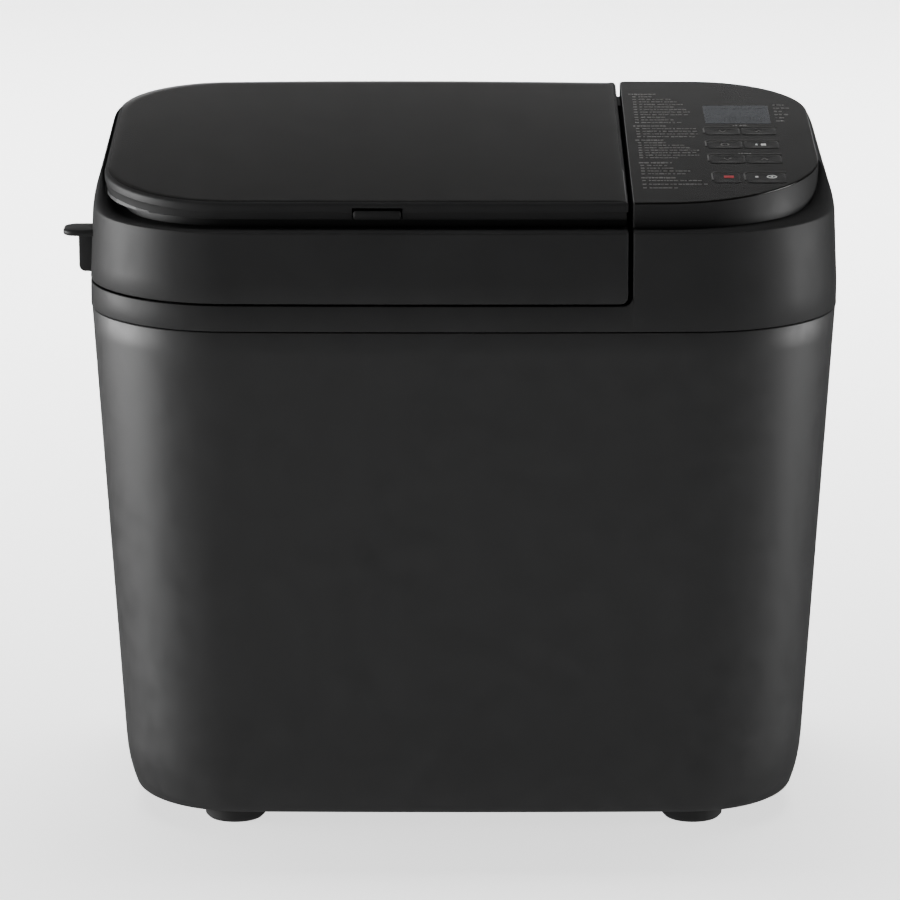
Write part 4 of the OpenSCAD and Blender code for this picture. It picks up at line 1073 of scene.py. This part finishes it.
for x, z, r in ((-16, BUSH_Z, 5.55), (16, BUSH_Z, 5.55), (0, SENSOR_Z, 4.05)):
    drill = Solid()
    drill.turned("y", (OVEN_X + x, 0, z), [(84, r), (106, r)], 40)
    drills.append(drill)
cut(oven, drills)

heater = Solid()
loop = Outline(-107.5, 107.5, -86, 86, 30, steps=(10, 10, 12))
path = [(x, y) for (x, y), c in zip(loop.ring(), loop.cols) if not (c[0] == "back" and abs(x) < 20)]
back_at = max(i for i, p in enumerate(path) if p[1] > 85.9 and p[0] > 0) + 1
path = path[back_at:] + path[:back_at]
bend = [(3, 0.0), (1.2, 0.35), (0.3, 1.4), (0, 3.5), (0, 20)]
start = [(-16 - dx, 86 + dy) for dx, dy in reversed(bend)]
end = [(16 + dx, 86 + dy) for dx, dy in bend]
heater.tube([(OVEN_X + x, y, BUSH_Z) for x, y in start + path + end], 3.3, 16)
piece("heater_rod", heater, M["heater_sheath"], "housing", ["heater_element"])

pan_lo, pan_hi = cad("bread_pan")
PAN_A, PAN_B = 95, 62
PAN_Z, RIM_Z = pan_lo.z, pan_hi.z
pan_line = Outline(OVEN_X - PAN_A, OVEN_X + PAN_A, -PAN_B, PAN_B, 25, steps=(12, 10, 14))
pan = Solid()
inside = [(20, PAN_Z + 2), (9, PAN_Z + 2.2), (5, PAN_Z + 4), (3, PAN_Z + 8), (2.4, PAN_Z + 16), (2.2, PAN_Z + 70),
          (2, RIM_Z - 6), (1.9, RIM_Z - 1.6), (1.4, RIM_Z - 0.4), (0.4, RIM_Z), (-1.6, RIM_Z - 0.2),
          (-2.7, RIM_Z - 1.0), (-3, RIM_Z - 2.0), (-2.6, RIM_Z - 3.1), (-1.4, RIM_Z - 3.2), (-0.4, RIM_Z - 4.2),
          (0, RIM_Z - 7), (0.2, PAN_Z + 70), (0.6, PAN_Z + 14), (1.6, PAN_Z + 5), (3.4, PAN_Z + 1.6), (7, PAN_Z + 0.2),
          (20, PAN_Z)]
stack(pan, pan_line, inside, ends=None)
bore = circle(OVEN_X, 0, 8)
pan.plate(pan_line.ring(19.9), [bore], lambda x, y: PAN_Z, lambda x, y: PAN_Z + 2)
EAR_Z = middle("pan_handle")[2]
for s in (-1, 1):
    a, b = sorted((OVEN_X + s * (PAN_A - 0.6), OVEN_X + s * (PAN_A + 3)))
    pan.rod("x", (0, 0, EAR_Z), 6, a, b, 40)
piece("bread_pan_body", pan, M["pan_coating"], "pan", ["bread_pan"])

wire = Solid()
HANDLE_X, REACH, BEND_R = PAN_A + 6.4, 70, 33
path = [(HANDLE_X, 4), (HANDLE_X, -6), (HANDLE_X, -18), (HANDLE_X, -REACH + BEND_R)]
path += [(HANDLE_X - BEND_R + BEND_R * math.cos(a), -REACH + BEND_R + BEND_R * math.sin(a))
         for a in [math.radians(-7.5 * i) for i in range(1, 13)]]
path += [(40, -REACH), (20, -REACH), (0, -REACH)]
path += [(-x, y) for x, y in reversed(path[:-1])]
wire.tube([(OVEN_X + x, y, EAR_Z) for x, y in path], 2.8, 16)
for s in (-1, 1):
    a, b = sorted((OVEN_X + s * (PAN_A - 6), OVEN_X + s * HANDLE_X))
    wire.rod("x", (0, 0, EAR_Z), 2.38, a, b, 32, soft=0.3)
piece("pan_bail", wire, M["wire_chrome"], "bail", ["pan_handle"])

blade = Solid()
HUB_Z = cad("kneading_blade")[0].z
blade.turned("z", (OVEN_X, 0, 0), [(HUB_Z, 4.05), (HUB_Z, 8.6), (HUB_Z + 0.6, 9), (HUB_Z + 19, 8.4),
                                   (HUB_Z + 22.6, 7.4), (HUB_Z + 24, 5.6), (HUB_Z + 24, 4.05)], 48, bore=True)
rings = []
for i in range(13):
    f = i / 12
    x = mix(7.6, 43.6, f)
    thick = mix(2.0, 1.3, f) * (0.45 if i == 12 else 1)
    high = mix(30, 13, smooth(f)) - (1.6 if i == 12 else 0)
    sweep = 2.2 * math.sin(math.pi * f)
    rings.append([(OVEN_X + x, sweep + thick * c, HUB_Z + 0.3 + (high - 0.3) * h) for c, h in
                  ((-0.7, 0.0), (-1, 0.04), (-1, 0.5), (-0.75, 0.9), (-0.3, 1.0), (0.3, 1.0), (0.75, 0.9), (1, 0.5),
                   (1, 0.04), (0.7, 0.0))])
blade.skin(rings, ends="cap")
piece("kneader_blade", blade, M["blade_coating"], "kneader", ["kneading_blade"], angle=50)

TRAY_Z = cad("lid_inner_plate")[0].z
lining = Solid()
line = oven_line(-4)
profile = [(3.6, TRAY_Z), (2.2, TRAY_Z), (0.7, TRAY_Z + 0.3), (0.1, TRAY_Z + 1.4), (0, TRAY_Z + 2.4), (0, DECK_Z),
           (1.2, DECK_Z), (1.2, TRAY_Z + 2.6), (1.6, TRAY_Z + 1.5), (2.6, TRAY_Z + 1.2), (3.6, TRAY_Z + 1.2)]
stack(lining, line, profile, ends=None)
vents = [circle(vent_x + dx, vent_y, 2.4, 24) for dx in (-12, -4, 4, 12)]
mouth = rounded(box_lo.x - 3, CRANK_X + 4, box_lo.y - 3, 43, 4)
lining.plate(line.ring(3.5), [mouth] + vents, lambda x, y: TRAY_Z, lambda x, y: TRAY_Z + 1.2)
piece("lid_lining", lining, M["lid_aluminium"], "main_lid", ["lid_inner_plate"])

seal_lo, seal_hi = cad("lid_seal")
seal = Solid()
stack(seal, oven_line(6), [(1.4, seal_lo.z), (0.4, seal_lo.z + 0.5), (0, seal_lo.z + 1.4), (0, seal_hi.z),
                           (4.5, seal_hi.z), (4.5, seal_lo.z + 1.4), (4.1, seal_lo.z + 0.5), (3.1, seal_lo.z)],
      ends=None)
piece("lid_gasket", seal, M["seal_silicone"], "main_lid", ["lid_seal"])

spring_lo, spring_hi = cad("plunger_spring")
coil = Solid()
SPRING_TURNS = 5
sx, sz = (spring_lo.x + spring_hi.x) / 2, (spring_lo.z + spring_hi.z) / 2
steps = SPRING_TURNS * 20
coil.tube([(sx + 6.4 * math.cos(2 * math.pi * i / 20), mix(spring_lo.y + 0.6, spring_hi.y - 0.6, i / steps),
            sz + 6.4 * math.sin(2 * math.pi * i / 20)) for i in range(steps + 1)], 0.5, 10)
piece("plunger_coil", coil, M["bright_steel"], "main_lid", ["plunger_spring"])

# ---- Studio ----

floor_mesh = bpy.data.meshes.new("studio_floor")
WIDE, FRONT, BACK, TALL, BEND = 9.0, -7.0, 4.4, 2.1, 1.2
profile = [(FRONT, 0.0), (BACK - BEND, 0.0)]
profile += [(BACK - BEND + BEND * math.sin(a), BEND - BEND * math.cos(a))
            for a in [math.pi / 2 * i / 12 for i in range(1, 13)]]
profile += [(BACK, TALL)]
verts = [(x, y, z) for y, z in profile for x in (-WIDE, WIDE)]
faces = [(2 * i, 2 * i + 1, 2 * i + 3, 2 * i + 2) for i in range(len(profile) - 1)]
floor_mesh.from_pydata(verts, [], faces)
for p in floor_mesh.polygons:
    p.use_smooth = True
floor_finish = finish_of("floor_finish", (0.9, 0.9, 0.9), 0.9, grain=40, depth=0.01, mottle=0.01, span=0.02)
glow = floor_finish.node_tree.nodes["Principled BSDF"].inputs
glow["Emission Color"].default_value = (1, 1, 1, 1)
glow["Emission Strength"].default_value = 1.5
floor_mesh.materials.append(floor_finish)
floor = add_object("studio_floor", floor_mesh)
floor.visible_glossy = False

world = bpy.data.worlds.new("studio")
bpy.context.scene.world = world
world.use_nodes = True
world.node_tree.nodes["Background"].inputs["Color"].default_value = (1, 1, 1, 1)
world.node_tree.nodes["Background"].inputs["Strength"].default_value = 0.06


def softbox(name, spot, aim, wide, tall, watts, spread=180, seen=True):
    light = bpy.data.lights.new(name, "AREA")
    light.shape, light.size, light.size_y, light.energy = "RECTANGLE", wide, tall, watts
    light.spread = math.radians(spread)
    obj = add_object(name, light)
    obj.location = spot
    obj.rotation_euler = (Vector(aim) - Vector(spot)).to_track_quat("-Z", "Y").to_euler()
    obj.visible_camera = False
    obj.visible_glossy = seen


softbox("left_softbox", (-2.0, 0.05, 0.28), (0, 0, 0.15), 1.5, 0.56, 56)
softbox("right_softbox", (2.3, 0.05, 0.28), (0, 0, 0.15), 1.1, 0.56, 29)
softbox("top_softbox", (0.0, 1.7, 3.8), (0, 1.7, 0), 4.0, 2.4, 125, 60, seen=False)
softbox("rear_softbox", (0.0, 2.6, 0.95), (0, 0, 0.35), 2.4, 0.4, 3.2)
softbox("backdrop_light", (0.0, 2.6, 2.6), (0, 4.4, 1.2), 4.0, 0.6, 18)

camera = bpy.data.cameras.new("camera")
camera.lens, camera.sensor_width = 196.8, 36
camera.shift_x, camera.shift_y = -0.0153, 0.0011
camera.clip_end = 40
cam = add_object("camera", camera)
cam.location = (BODY_X / MM, -2.598, 0.816)
cam.rotation_euler = (math.radians(90 - 13.78), 0, 0)
bpy.context.scene.camera = cam

bpy.context.view_layer.update()
